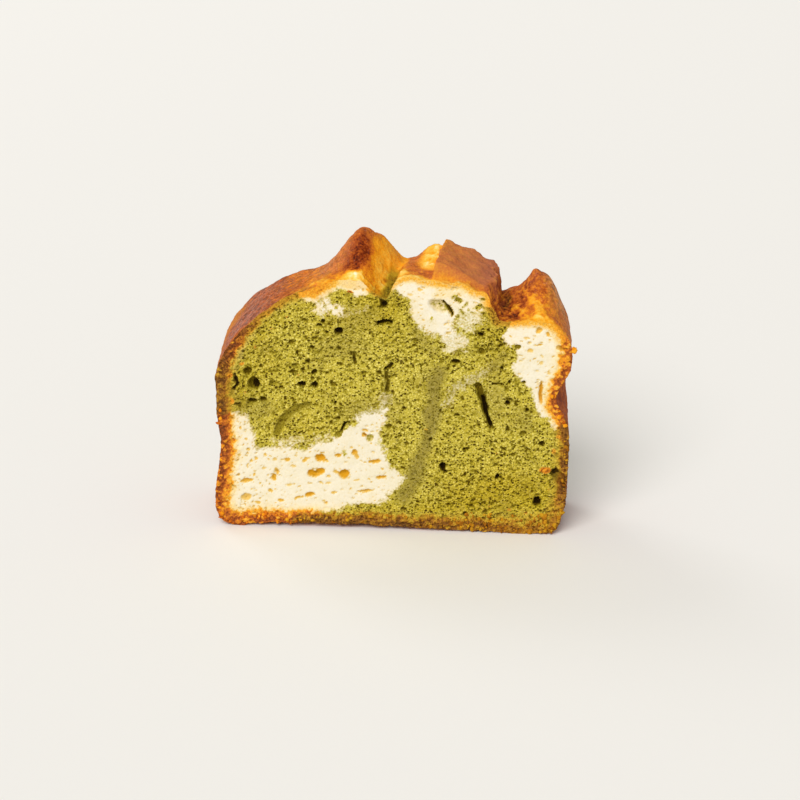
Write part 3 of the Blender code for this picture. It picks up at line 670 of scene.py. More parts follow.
def outline(place, y):
    """Point of the outline at depth y, and the front line's x on the crown or at its nearer end. Place
    runs 0 to 1 along the base, to 2 up the right side, to 3 over the crown and to 4 down the left side."""
    part = np.clip(np.floor(place), 0, 3)
    step = place - part
    left_foot = left_side(0.0)
    right_foot = right_side(0.0, y)
    right_z = RIGHT_SIDE_TOP * step**2
    left_z = LEFT_SIDE_TOP * (1.0 - step) ** 2
    right_end = right_side(RIGHT_SIDE_TOP, y)
    left_end = left_side(LEFT_SIDE_TOP)
    front_x = right_end + (left_end - right_end) * (1.0 - np.cos(math.pi * step)) / 2.0
    base_x = left_foot + (right_foot - left_foot) * step
    pieces_x = (base_x, right_side(right_z, y), drifted(front_x, y), left_side(left_z) + 0.0 * y)
    pieces_z = (0.0 * step * y, right_z + 0.0 * y, crown(front_x, y), left_z + 0.0 * y)
    pieces_front = (right_end + 0.0 * step, right_end + 0.0 * step, front_x, left_end + 0.0 * step * y)
    return tuple(np.choose(part.astype(int), pieces) for pieces in (pieces_x, pieces_z, pieces_front))


def even_places(start, end, count):
    """count places from start towards end, end left out, that lie at equal steps of the outline's
    length, as a mean of three depths."""
    fine = np.linspace(start, end, OUTLINE_SAMPLES + 1)
    length = np.zeros(OUTLINE_SAMPLES + 1)
    for y in (-THICKNESS / 2.0, 0.0, THICKNESS / 2.0):
        x, z, _ = outline(fine, y)
        length[1:] += np.cumsum(np.hypot(np.diff(x), np.diff(z)))
    return np.interp(np.arange(count) * length[-1] / count, length, fine)


def column_places(sizes):
    """Places of all columns: the base, the right of the grid, its top and its left, each evenly."""
    return np.concatenate((
        even_places(0.0, 1.0, sizes.face_columns),
        even_places(1.0, RIGHT_GRID_CORNER, sizes.face_rows),
        even_places(RIGHT_GRID_CORNER, LEFT_GRID_CORNER, sizes.face_columns),
        even_places(LEFT_GRID_CORNER, 4.0, sizes.face_rows),
    ))


def draw(cell_x, cell_y, cell_z, seed):
    """A fixed random number from 0 to 1 for each cell of a lattice: its whole-number place times large
    odd numbers, with the bits folded over each other three times."""
    mixed = cell_x.astype(np.int64) * 374761393 + cell_y.astype(np.int64) * 668265263
    mixed = (mixed + np.int64(cell_z) * 1440662683 + seed * 1274126177) & 0xFFFFFFFF
    mixed = ((mixed ^ (mixed >> 13)) * 1103515245) & 0xFFFFFFFF
    mixed = ((mixed ^ (mixed >> 16)) * 2654435761) & 0xFFFFFFFF
    return ((mixed ^ (mixed >> 15)) & 0xFFFFFF) / float(0xFFFFFF)


def noise(x, y, size, seed, z=0.0):
    """Smooth noise from -1 to 1: the draws at the corners of a lattice of that size, blended by the S
    curve along each axis."""
    px, py, pz = x / size, y / size, (z + 0.0 * x) / size
    cx, cy, cz = np.floor(px), np.floor(py), np.floor(pz)
    sx, sy, sz = (s * s * (3.0 - 2.0 * s) for s in (px - cx, py - cy, pz - cz))
    total = 0.0
    for ix in (0, 1):
        for iy in (0, 1):
            for iz in (0, 1):
                weight = (sx if ix else 1.0 - sx) * (sy if iy else 1.0 - sy) * (sz if iz else 1.0 - sz)
                corner = (cx + ix) * 7919 + (cz + iz) * 104729
                total = total + weight * draw(corner, cy + iy, 0, seed)
    return 2.0 * total - 1.0


def clouds(x, y, size, octaves, seed, z=0.0):
    """Uneven noise from about -1 to 1: octaves of noise, each half as large and half as strong."""
    total = 0.0
    weight = 0.0
    for octave in range(octaves):
        share = 0.5**octave
        total = total + share * noise(x, y, size * share, seed + 17 * octave, z)
        weight += share
    return total / weight


def shaken(x, z, amount, size, octaves, seeds):
    """x and z, each moved by amount times uneven noise of its own."""
    moved_x = x + amount * clouds(x, z, size, octaves, seeds[0])
    return moved_x, z + amount * clouds(x, z, size, octaves, seeds[1])


def pores(u, v, spacing, share, radii, stretch, lean, seed):
    """Depth in units of length, and mask from 0 to 1, of round pores: at most one in each cell of a
    square lattice, at a random place in it. A pore is a half ellipsoid, longer along lean."""
    depth = np.zeros_like(u)
    shown = np.zeros_like(u)
    cell_u = np.floor(u / spacing)
    cell_v = np.floor(v / spacing)
    for step_u in (-1, 0, 1):
        for step_v in (-1, 0, 1):
            at_u, at_v = cell_u + step_u, cell_v + step_v
            du = u - (at_u + draw(at_u, at_v, 1, seed)) * spacing
            dv = v - (at_v + draw(at_u, at_v, 2, seed)) * spacing
            radius = between(radii, draw(at_u, at_v, 3, seed) ** 2)
            turn = lean + 1.2 * (draw(at_u, at_v, 4, seed) - 0.5)
            length = 1.0 + stretch * draw(at_u, at_v, 5, seed)
            along = (du * np.cos(turn) + dv * np.sin(turn)) / (radius * length)
            aside = (dv * np.cos(turn) - du * np.sin(turn)) / radius
            inside = np.clip(1.0 - along * along - aside * aside, 0.0, 1.0)
            inside = inside * (draw(at_u, at_v, 6, seed) < share)
            strength = 0.45 + 0.55 * draw(at_u, at_v, 7, seed)
            depth = np.maximum(depth, radius * np.sqrt(inside))
            shown = np.maximum(shown, strength * ease(inside, 0.0, 0.5))
    return depth, shown


def pore_layers(x, z, layers, shares, flat, seed):
    """Depth and mask of layers of pores, the largest at each point, each layer weighted by its share."""
    depth = np.zeros_like(x)
    shown = np.zeros_like(x)
    for step, ((across, squeeze, *form), share) in enumerate(zip(layers, shares)):
        deep, seen = pores(x * across, z * (1.0 + squeeze * flat), *form, seed + step)
        depth = np.maximum(depth, deep * share)
        shown = np.maximum(shown, seen * share)
    return depth, shown


def edge_distances(x, z, points, closed):
    """Distance to the line through the points, and whether a point lies inside it when closed: the
    nearest of all edges, and an odd number of edges crossed on the way right."""
    nearest = np.full(x.shape, 1e9)
    inside = np.zeros(x.shape, bool)
    ends = points[1:] + (points[:1] if closed else ())
    for (from_x, from_z), (to_x, to_z) in zip(points, ends):
        run_x, run_z = to_x - from_x, to_z - from_z
        along = ((x - from_x) * run_x + (z - from_z) * run_z) / (run_x**2 + run_z**2)
        share = np.clip(along, 0.0, 1.0)
        gap = np.hypot(x - from_x - share * run_x, z - from_z - share * run_z)
        nearest = np.minimum(nearest, gap)
        crosses = (from_z > z) != (to_z > z)
        rise = run_z if run_z else 1e-9
        inside ^= crosses & (x < from_x + (z - from_z) * run_x / rise)
    return nearest, inside


def outline_distances(x, z, ring_x, ring_z):
    """Distance from each point to the ring's points, and the nearest one's number, in blocks that fit
    in memory."""
    nearest = np.empty(x.shape)
    number = np.empty(x.shape, int)
    size = 4000
    for start in range(0, len(x), size):
        block = slice(start, start + size)
        gap = (x[block, None] - ring_x) ** 2 + (z[block, None] - ring_z) ** 2
        number[block] = gap.argmin(1)
        nearest[block] = np.sqrt(gap.min(1))
    return nearest, number


def ring_profile(rows, ring_x, ring_z):
    """Values at every point of the ring, drawn straight between the ring points nearest to the rows'
    places. A row is x, z and then the values."""
    count = len(ring_x)
    table = np.array(rows, float)
    at = np.hypot(table[:, :1] - ring_x, table[:, 1:2] - ring_z).argmin(1)
    order = np.argsort(at)
    at, table = at[order], table[order]
    return [np.interp(np.arange(count), at, table[:, k], period=count) for k in range(2, table.shape[1])]


def marbling(x, z, back):
    """Share of cream, 0 to 1, on a cut face: the depth inside each patch, less the mottling that noise
    breaks up, through a soft edge. At the back the same patches lie shifted and bent."""
    if back:
        bend_x = 4.5 * noise(x, z, 26.0, 71) + 2.0 * noise(x, z, 9.0, 72)
        bend_z = 4.0 * noise(x, z, 24.0, 73) + 2.0 * noise(x, z, 8.0, 74)
        inner = ease(HALF_WIDTH - np.abs(x), 0.0, 8.0)
        x, z = x + bend_x * inner, z + bend_z * inner
    seed = 31 + 40 * back
    shake_x = 0.7 * clouds(x, z, 3.2, 2, seed)
    shake_z = 0.5 * clouds(x, z, 3.0, 2, seed + 1)
    lace = 0.75 * clouds(x, z, 1.3, 3, seed + 5) + 0.35 * noise(x, z, 0.42, seed + 6)
    speck = clouds(x, z, 1.5, 3, seed + 9) + 0.45 * noise(x, z, 0.5, seed + 10)
    mottled = add_bells(0.0, x, z, CREAM_MOTTLES)
    cream = np.zeros_like(x)
    for softness, strength, points in CREAM_PATCHES:
        away, inside = edge_distances(x + shake_x, z + shake_z, points, True)
        depth = np.where(inside, away, -away)
        depth = np.minimum(depth, 1.6) + 1.5 * softness * lace - mottled * (1.3 + 3.2 * speck)
        cream = np.maximum(cream, strength * ease(depth, -softness, softness))
    return cream


def hole_field(x, z, holes, growth, steepness):
    """Depth in units of length and darkness, 0 to 1, of the shade painted in listed holes: leaning half
    ellipsoids, the largest of them at each point."""
    depth = np.zeros_like(x)
    dark = np.zeros_like(x)
    for at_x, at_z, width, height, lean, darkness in holes:
        turn = math.radians(lean)
        dx, dz = x - at_x, z - at_z
        along = (dx * math.cos(turn) + dz * math.sin(turn)) / (growth * width / 2.0)
        aside = (dz * math.cos(turn) - dx * math.sin(turn)) / (growth * height / 2.0)
        inside = np.clip(1.0 - along * along - aside * aside, 0.0, 1.0)
        radius = growth * math.sqrt(width * height) / 2.0
        depth = np.maximum(depth, radius * steepness * (0.5 + darkness) * np.sqrt(inside))
        dark = np.maximum(dark, darkness * ease(inside, 0.0, 0.35))
    return depth, dark


def groove_field(x, z):
    """Depth of the grooves and darkness of the shade painted in them: a rounded channel along each line,
    narrower at its ends.
    """
    depth = np.zeros_like(x)
    dark = np.zeros_like(x)
    for width, deepest, darkness, points in GROOVES:
        away, _ = edge_distances(x, z, points, False)
        inside = np.clip(1.0 - (away / (width / 2.0)) ** 2, 0.0, 1.0)
        depth = np.maximum(depth, deepest * np.sqrt(inside))
        dark = np.maximum(dark, darkness * ease(inside, 0.0, 0.5))
    return depth, dark


def back_holes():
    """Holes of the back cut, by the seeded rule of the part's source, as rows like the front's. That rule
    also draws each hole's depth, so the same draw is made here and left unused."""
    chance = np.random.default_rng(BACK_HOLE_SEED)
    inner_x = HALF_WIDTH - BACK_HOLE_MARGIN
    placed = []
    while len(placed) < BACK_HOLE_COUNT:
        x = chance.uniform(-inner_x, inner_x)
        z = chance.uniform(*BACK_HOLE_HEIGHTS)
        width = chance.uniform(*BACK_HOLE_WIDTHS)
        height = width * chance.uniform(*BACK_HOLE_FLATNESS)
        chance.uniform()
        roof = float(crown(np.array(x), THICKNESS / 2.0))
        apart = [math.hypot(x - p[0], z - p[1]) - (width + p[2]) / 2.0 for p in placed]
        if z <= roof - BACK_HOLE_COVER and min(apart, default=math.inf) >= BACK_HOLE_GAP:
            placed.append((x, z, width, height, 0.0, BACK_HOLE_DARKNESS))
    return placed


def crumb_fields(x, z, back):
    """Fields of a cut face at points x, z: depth of the small pores, depth of the listed holes, bumps,
    and the masks cream, pit, dark and pale; pit and dark say how much shade is painted in pores, and in
    holes and grooves. Green crumb gives way to cream by its mask."""
    seed = 300 * back
    cream = marbling(x, z, back)
    pale = np.zeros_like(x)
    band_x, band_z = shaken(x, z, 1.2, 4.0, 2, (seed + 51, seed + 52))
    for width, strength, points in PALE_BANDS:
        away, _ = edge_distances(band_x, band_z, points, False)
        pale = np.maximum(pale, strength * (1.0 - ease(away, 0.1 * width, 0.75 * width)))
    pale = np.clip(pale + 0.5 * ease(clouds(x, z, 8.0, 3, seed + 53), 0.05, 0.6), 0.0, 1.0)

    bent_x, bent_z = shaken(x, z, 0.2, 0.5, 1, (seed + 61, seed + 62))
    # Pores are flatter at the lower right. Wider ones thin out in pale crumb and come in clusters.
    flat = ease(x, -5.0, 25.0) * (1.0 - ease(z, 25.0, 45.0))
    loose = ease(clouds(x, z, 7.0, 2, seed + 54), -0.6, 0.5)
    keep = (1.0 - 0.75 * pale) * (0.45 + 0.55 * loose)
    # The pores' masks, with the winding gaps', make the pit mask: how much shade is painted in them.
    green, green_pit = pore_layers(bent_x, bent_z, GREEN_PORES, (1.0, keep, keep), flat, seed + 1)
    size, squeeze, gap_depth, gap_dark = WINDING_GAPS
    winding = 1.0 - ease(np.abs(noise(bent_x, bent_z * (1.0 + squeeze * flat), size, seed + 7)), 0.0, 0.20)
    winding = winding * ease(noise(x, z, 0.8, seed + 8), -0.1, 0.45) * keep
    green = np.maximum(green, gap_depth * winding)
    green_pit = np.maximum(green_pit, gap_dark * winding)
    # The cream has round dots at its left.
    dotted = ease(-x, 20.0, 32.0)
    creamy, cream_pit = pore_layers(bent_x, bent_z, CREAM_PORES, (1.0, 1.0, dotted), flat, seed + 4)

    named_x, named_z = shaken(x, z, 0.42, 1.4, 3, (seed + 63, seed + 64))
    if back:
        named, named_dark = hole_field(named_x, named_z, back_holes(), 1.0, 1.0)
        named = named * (1.0 - 0.6 * cream)
        green_dark = grooves = grooves_dark = np.zeros_like(x)
    else:
        named, green_dark = hole_field(named_x, named_z, GREEN_HOLES, *GREEN_HOLE_GROWTH)
        ochre, ochre_dark = hole_field(named_x, named_z, CREAM_HOLES, *CREAM_HOLE_GROWTH)
        named, named_dark = np.maximum(named, ochre), np.maximum(green_dark, ochre_dark)
        grooves, grooves_dark = groove_field(named_x, named_z)
    cream = cream * (1.0 - ease(np.maximum(green_dark, grooves_dark), 0.05, 0.25))
    kept = 1.0 - 0.3 * grooves_dark
    small = (green * (1.0 - cream) + creamy * cream) * kept
    pit = (green_pit * (1.0 - 0.45 * pale) * (1.0 - cream) + cream_pit * cream) * kept
    dark = np.maximum(named_dark, grooves_dark)
    bumps = clouds(x, z, 1.3, 3, seed + 65) * (1.0 - 0.55 * cream) * (1.0 - 0.4 * pale)
    return small, np.maximum(named, grooves), bumps, cream, pit, dark, pale


def add_mesh(name, points, faces, masks, material):
    """A new object at the origin from points in millimetres and an array of faces, with one attribute
    for each mask. The faces may be a list of arrays of quads and of triangles."""
    mesh = bpy.data.meshes.new(name)
    corners = np.concatenate([part.ravel() for part in faces])
    totals = np.concatenate([np.full(len(part), part.shape[1]) for part in faces])
    starts = np.concatenate(([0], np.cumsum(totals)[:-1]))
    mesh.vertices.add(len(points))
    mesh.vertices.foreach_set("co", (points * MM).astype(np.float32).ravel())
    mesh.loops.add(len(corners))
    mesh.loops.foreach_set("vertex_index", corners.astype(np.int32))
    mesh.polygons.add(len(totals))
    mesh.polygons.foreach_set("loop_start", starts.astype(np.int32))
    mesh.polygons.foreach_set("loop_total", totals.astype(np.int32))
    mesh.update(calc_edges=True)
    mesh.validate()
    mesh.polygons.foreach_set("use_smooth", np.ones(len(totals), bool))
    for mask, values in masks.items():
        layer = mesh.attributes.new(mask, "FLOAT", "POINT")
        layer.data.foreach_set("value", values.astype(np.float32))
    mesh.materials.append(material)
    thing = bpy.data.objects.new(name, mesh)
    bpy.context.scene.collection.objects.link(thing)
    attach(thing, BODY)
    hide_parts(NODE)
    return thing


def hidden_rings(points, inward, back, insets):
    """Rings behind a cut that stay inside the skin: each is the cut's edge, moved inward by its inset
    and by the deepest dip of the skin on the way there."""
    rows = points[::-1] if back else points
    facing = inward[-1] if back else inward[0]
    facing = sum(np.roll(facing, step, 0) for step in range(-RING_SMOOTHING, RING_SMOOTHING + 1))
    facing = facing / np.linalg.norm(facing, axis=-1, keepdims=True)
    dips = np.maximum.accumulate(((rows - rows[0]) * facing).sum(-1), axis=0)
    per_row = THICKNESS / (len(rows) - 1)
    rings = []
    for depth, inset in insets:
        ring = rows[0] + facing * (dips[math.ceil(depth / per_row)] + inset)[:, None]
        ring[:, 1] = (THICKNESS / 2.0 - depth) * (1.0 if back else -1.0)
        rings.append(ring)
    return rings


def core_ring(points, row):
    """The skin's ring at a row, shrunk as seen from the front about the middle of the cut."""
    middle = np.array((0.0, 0.0, CORE_HEIGHT))
    shrink = np.array((CORE_SHARE, 1.0, CORE_SHARE))
    return middle * (1.0 - shrink) + points[int(round(row))] * shrink


def skin_points(sizes):
    """The crust's grid, rows from the front cut to the back by columns round the outline, pushed out
    along its normals by noise. The normal is the cross product of the grid's two directions."""
    places = column_places(sizes)
    depths = np.linspace(-THICKNESS / 2.0, THICKNESS / 2.0, sizes.skin_rows + 1)
    place, y = np.meshgrid(places, depths)
    x, z, front_x = outline(place, y)
    points = np.stack((x, y, z), -1)
    around = np.roll(points, -1, 1) - np.roll(points, 1, 1)
    normal = np.cross(np.gradient(points, axis=0), around)
    normal = normal / np.linalg.norm(normal, axis=-1, keepdims=True)
    on_crown = (place > 2.0) & (place < 3.0)
    tones = crown_tones(points, front_x)
    smooth = tones[3]
    push = 1.3 * clouds(x, y, 3.4, 2, 201, z) + 0.7 * clouds(x, y, 1.1, 2, 202, z)
    push = push * (1.0 - 0.55 * smooth) + 0.45 * noise(x, y, 0.5, 203, z) * (1.0 - 0.8 * smooth)
    rough, crevice = crumbly_relief(x, y, z, front_x, on_crown)
    push = push * (sizes.crust_relief / MM) + rough
    # Browning rises between the crumbly lumps and falls on them: painted shade in the crevices, painted
    # light on the lumps.
    tones[0] = tones[0] + 0.30 * crevice
    on_base = 1.0 - ease(z, 0.0, 0.8)
    push = push - 0.7 * on_base * np.abs(clouds(x, y, 1.9, 3, 204, z))
    arch = np.interp(x, *zip(*BASE_ARCH))
    arch = arch * (1.0 - ease(THICKNESS / 2.0 - np.abs(y), 0.0, BASE_ARCH_REACH))
    push = push - arch * on_base
    normal[..., 1] = 0.0
    inward = -normal / np.maximum(np.linalg.norm(normal, axis=-1, keepdims=True), 1e-6)
    points = points + normal * push[..., None]
    points[..., 2] = np.maximum(points[..., 2], 0.0)
    return points, inward, tones, places


def crumbly_relief(x, y, z, front_x, on_crown):
    """Height of the lumps in the crumbly places, and how deep a point lies between them, -1 to 1, which
    raises the browning between the lumps as painted shade and lowers it on them as painted light: uneven
    noise times the sum of bells round the listed places."""
    amount = np.minimum(add_bells(0.0, front_x, y, CRUMBLY_SPOTS), 0.8) * on_crown
    lumps = 0.75 * clouds(x, y, 1.9, 3, 231, z) + 0.55 * noise(x, y, 0.62, 232, z)
    share = np.clip(amount / 0.5, 0.0, 1.0)
    return amount * lumps, -np.clip(1.6 * lumps, -0.55, 1.0) * share


def crown_tones(points, front_x):
    """Browning, duskiness, olive and gloss of the skin: the mean of the listed tones, each weighted by
    a bell round its place, which turns into the sides' own tones below the ends of the crown."""
    x, y, z = points[..., 0], points[..., 1], points[..., 2]
    weights = np.full(front_x.shape, 1e-6)
    total = np.array(OTHER_TONES)[:, None, None] * weights
    sway_x = front_x + 0.8 * clouds(x, y, 2.5, 3, 221, z)
    sway_y = y + 0.8 * clouds(x, y, 2.5, 3, 222, z)
    for _, at_x, at_y, *tones, spread_x, spread_y in CROWN_TONES:
        weight = bell(sway_x - at_x, spread_x) * bell(sway_y - at_y, spread_y)
        weights = weights + weight
        total = total + np.array(tones)[:, None, None] * weight
    total = total / weights
    below = np.where(x > 0.0, RIGHT_SIDE_TOP, LEFT_SIDE_TOP) - z + 2.2 * clouds(x, y, 3.2, 3, 223, z)
    side = np.array(SIDE_TONES)[:, None, None] + 0.0 * total
    side[0] = side[0] + 0.14 * clouds(x, y, 6.0, 3, 224, z)
    return total + (side - total) * ease(below, *SIDE_BLEND)


def band_faces(rows, columns, closed):
    """Quads of a grid of points whose columns go round, and whose rows do too when closed."""
    row = np.arange(rows if closed else rows - 1)
    low, column = np.meshgrid(row, np.arange(columns), indexing="ij")
    high = (low + 1) % rows
    after = (column + 1) % columns
    quads = (low * columns + column, low * columns + after, high * columns + after, high * columns + column)
    return np.stack(quads, -1).reshape(-1, 4)


def build_crust(sizes, material):
    """The crust: a closed band, the skin outside and hidden rings inside it."""
    points, inward, tones, _ = skin_points(sizes)
    last = sizes.skin_rows
    deep = CRUST_CORE_DEPTH * last / THICKNESS
    rings = hidden_rings(points, inward, True, CRUST_RINGS)
    rings += [core_ring(points, last - deep), core_ring(points, deep)]
    rings += hidden_rings(points, inward, False, CRUST_RINGS)[::-1]
    grid = np.concatenate((points, np.array(rings)))
    names = ("browning", "dusky", "olive", "gloss")
    masks = {}
    for name, tone in zip(names, tones):
        filler = np.repeat(tone[:1], len(rings), 0)
        masks[name] = np.concatenate((tone, filler)).ravel()
    faces = band_faces(len(grid), grid.shape[1], True)
    add_mesh("crust", grid.reshape(-1, 3), [faces], masks, material)


def face_grid(ring, columns, rows):
    """A grid over a cut face by the Coons rule: the blend of opposite edges in both directions, less
    the blend of the corners. The ring goes round from the base's left end, so its edges are taken in
    that order."""
    base = ring[: columns + 1]
    right = ring[columns : columns + rows + 1]
    top = ring[columns + rows : 2 * columns + rows + 1][::-1]
    left = np.concatenate((ring[2 * columns + rows :], ring[:1]))[::-1]
    across = np.linspace(0.0, 1.0, columns + 1)[None, :, None]
    up = np.linspace(0.0, 1.0, rows + 1)[:, None, None]
    blend = (1 - up) * base[None] + up * top[None] + (1 - across) * left[:, None] + across * right[:, None]
    low = (1 - across) * base[0] + across * base[-1]
    high = (1 - across) * top[0] + across * top[-1]
    return blend - (1 - up) * low - up * high


def edge_lumps(x, z, away, width, tone, back):
    """Lumps in the browned edge of a cut: their depth, their mask, and a mask of the dark parts of the
    edge, where they show."""
    lump_x, lump_z = shaken(x, z, 0.3, 0.6, 1, (101 + back, 103 + back))
    lumps, lumpy = pores(lump_x, lump_z, *EDGE_LUMPS, 99 + back)
    near = (1.0 - ease(away, 0.8 * width, 1.7 * width)) * ease(tone, 0.5, 0.6)
    return lumps, lumpy, near


def face_browning(x, z, away, edge, cream, lumpy, near, back):
    """Masks of a cut's browning and of browned crumb without moss. Browning falls from its tone at the
    edge through a golden tint, with specks at the lower right and, in front, the listed baked spots."""
    width, tone, golden = edge
    ragged = 0.7 * clouds(x, z, 2.3, 3, 91 + back) + 0.45 * noise(x, z, 0.5, 93 + back)
    depth = away + ragged * 0.36 * width - 0.5 * near * lumpy
    browning = tone * (1.0 - ease(depth, 0.3 * width, 1.2 * width)) - near * (0.42 * lumpy - 0.17)
    golden_edge = (1.0 - ease(depth, 0.25 * golden, 1.15 * golden)) ** 1.3
    browning = np.maximum(browning, GOLDEN_TONE * golden_edge * np.minimum(golden / 1.8, 1.0))
    scattered = ease(clouds(x, z, 1.2, 2, 97 + back), 0.34, 0.5) * (1.0 - ease(away, 3.0, 8.0))
    low_right = ease(x, 4.0, 30.0) * (1.0 - ease(z, 14.0, 30.0)) * (1.0 - cream)
    browning = np.maximum(browning, SPECK_TONE * scattered * low_right)
    bare = np.max([add_bells(0.0, x, z, (row,)) for row in BARE_PLACES], axis=0)
    for at_x, at_z, spread_x, spread_z, spot_tone in () if back else BAKED_SPOTS:
        spot = bell(x - at_x + 0.3 * ragged, spread_x) * bell(z - at_z - 0.3 * ragged, spread_z)
        spot = ease(spot, 0.3, 0.6)
        browning = browning + (spot_tone - browning) * spot
        bare = np.maximum(bare, spot * ease(spot_tone, 0.38, 0.45))
    return browning, bare


def face_fields(sizes, x, z, ring, back):
    """Depth of a cut face's relief, which dies away at its edge, and its masks by name."""
    away, nearest = outline_distances(x, z, ring[:, 0], ring[:, 2])
    edge = [profile[nearest] for profile in ring_profile(FACE_CRUST, ring[:, 0], ring[:, 2])]
    width, tone, _ = edge
    small, named, bumps, cream, pit, dark, pale = crumb_fields(x, z, back)
    lumps, lumpy, near = edge_lumps(x, z, away, width, tone, back)
    browning, bare = face_browning(x, z, away, edge, cream, lumpy, near, back)
    rich = add_bells(0.75 * (1.0 - ease(away, 0.8, 7.0)), x, z, RICH_SPOTS)
    rich = np.clip(rich * (1.0 + 0.7 * clouds(x, z, 4.0, 3, 98 + back)), 0.0, 1.0)
    grainy = (1.0 - ease(away, 0.6 * width, 1.2 * width)) * ease(tone, 0.55, 0.75)
    relief = small * sizes.pore_depth * (1.0 - 0.5 * grainy) + named
    relief = relief + bumps * sizes.crumb_relief / MM
    relief = relief + 0.45 * grainy * clouds(x, z, 0.9, 3, 95 + back) - 0.5 * near * lumps
    fade = ease(away, 0.0, sizes.edge_fade / MM)
    # pit and dark say how much shade is painted in pores, and in holes and grooves.
    masks = {"cream": cream, "pit": pit * fade, "dark": dark * fade, "pale": pale,
             "browning": browning, "rich": rich, "bare": bare}
    return np.minimum(relief, 0.15 + 0.7 * away) * fade, masks


def face_faces(columns, rows, rings, back):
    """Faces of a cut: quads of its grid, quads of the walls from its rim through the rings, and a fan
    that closes the last ring in one point. The back's are turned round."""
    index = np.arange((rows + 1) * (columns + 1)).reshape(rows + 1, columns + 1)
    rim = np.concatenate((index[0, :-1], index[:-1, -1], index[-1, :0:-1], index[:0:-1, 0]))
    surface = np.stack((index[:-1, :-1], index[:-1, 1:], index[1:, 1:], index[1:, :-1]), -1).reshape(-1, 4)
    walled = np.arange(rings * len(rim)).reshape(rings, -1)
    loops = np.concatenate((rim[None], index.size + walled))
    after = np.roll(loops, -1, 1)
    walls = np.stack((loops[:-1], loops[1:], after[1:], after[:-1]), -1).reshape(-1, 4)
    tip = np.full(len(rim), index.size + walled.size)
    fan = np.stack((loops[-1], tip, after[-1]), -1)
    return [part[:, ::-1] if back else part for part in (surface, walls, fan)]


def build_face(sizes, material, back):
    """One cut face: a grid with relief pushed in from the cut, closed behind by hidden rings that meet
    in a point inside the slice."""
    points, inward, _, _ = skin_points(sizes)
    side = 1.0 if back else -1.0
    ring = points[-1] if back else points[0]
    columns, rows = sizes.face_columns, sizes.face_rows
    grid = face_grid(ring, columns, rows)
    x, z = grid[..., 0].ravel(), grid[..., 2].ravel()
    relief, masks = face_fields(sizes, x, z, ring, back)
    cut = np.stack((x, side * (THICKNESS / 2.0 - relief), z), -1)
    rings = hidden_rings(points, inward, back, CRUMB_RINGS)
    row = CRUMB_CORE_DEPTH * sizes.skin_rows / THICKNESS
    rings.append(core_ring(points, sizes.skin_rows - row if back else row))
    tip = np.array(((0.0, side * (THICKNESS / 2.0 - TIP_DEPTH), CORE_HEIGHT),))
    everything = np.concatenate((cut, *rings, tip))
    hidden = np.zeros(len(everything) - len(cut))
    masks = {name: np.concatenate((values, hidden)) for name, values in masks.items()}
    faces = face_faces(columns, rows, len(rings), back)
    add_mesh("crumb_back" if back else "crumb_front", everything, faces, masks, material)


def lump_template():
    """A unit ball as rings between two poles, its points and faces."""
    down = np.linspace(0.0, math.pi, GRAIN_RINGS + 2)[1:-1]
    turn = np.arange(GRAIN_SEGMENTS) * math.tau / GRAIN_SEGMENTS
    down, turn = np.meshgrid(down, turn, indexing="ij")
    ball = np.stack((np.sin(down) * np.cos(turn), np.sin(down) * np.sin(turn), np.cos(down)), -1)
    points = np.concatenate((ball.reshape(-1, 3), ((0.0, 0.0, 1.0), (0.0, 0.0, -1.0))))
    quads = band_faces(GRAIN_RINGS, GRAIN_SEGMENTS, False)[:, ::-1]
    first = np.arange(GRAIN_SEGMENTS)
    after = (first + 1) % GRAIN_SEGMENTS
    last = (GRAIN_RINGS - 1) * GRAIN_SEGMENTS
    pole = GRAIN_RINGS * GRAIN_SEGMENTS
    top = np.stack((np.full(GRAIN_SEGMENTS, pole), first, after), -1)
    bottom = np.stack((np.full(GRAIN_SEGMENTS, pole + 1), last + after, last + first), -1)
    return points, quads, np.concatenate((top, bottom))


def build_grains(sizes, material):
    """Loose grains: lumpy balls half sunk in the ragged edges of both cuts, and the golden crumb."""
    chance = np.random.default_rng(GRAIN_SEED)
    ball, quads, triangles = lump_template()
    skin, inward, _, places = skin_points(sizes)
    centres, radii, tones = [], [], []
    for _, range_place, range_inset, share in GRAIN_STRIPS:
        count = int(sizes.grains * share)
        for side, row in ((-1.0, 0), (1.0, -1)):
            number = np.searchsorted(places, chance.uniform(*range_place, count)) % len(places)
            spots = skin[row, number] + inward[row, number] * chance.uniform(*range_inset, (count, 1))
            spots[:, 1] = side * (THICKNESS / 2.0 - chance.uniform(*GRAIN_SINK, count))
            centres.append(spots)
            spread = chance.uniform(0.0, 1.0, count) ** 2
            radii.append(sizes.grain_size / MM * (GRAIN_RADII[0] + GRAIN_RADII[1] * spread))
            tones.append(chance.uniform(*GRAIN_TONES, count))
    x, y, z, radius = GOLDEN_CRUMB
    centres.append(np.array(((x, y, z),)))
    radii.append(np.array((radius,)))
    tones.append(np.array((GOLDEN_CRUMB_TONE,)))
    centres, radii, tones = (np.concatenate(parts) for parts in (centres, radii, tones))
    stretch = chance.uniform(*GRAIN_STRETCH, (len(radii), 1, 3))
    stretch[-1] = 1.0
    points = ball[None] * stretch * radii[:, None, None]
    lumps = noise(points[..., 0] + centres[:, None, 0], points[..., 1], 0.35, 5, points[..., 2])
    points = points * (1.0 + 0.35 * lumps)[..., None] + centres[:, None]
    points[..., 2] = np.maximum(points[..., 2], 0.0)
    shift = (np.arange(len(radii)) * len(ball))[:, None, None]
    faces = [(part[None] + shift).reshape(-1, part.shape[1]) for part in (quads, triangles)]
    # Grains low down and right of the left foot lie beside green crumb, and are mossy.
    mossy = 0.85 * ease(centres[:, 0], -32.0, -18.0) * (1.0 - ease(centres[:, 2], 24.0, 30.0))
    masks = {"browning": np.repeat(tones, len(ball)), "mossy": np.repeat(mossy, len(ball))}
    add_mesh("loose_crumbs", points.reshape(-1, 3), faces, masks, material)


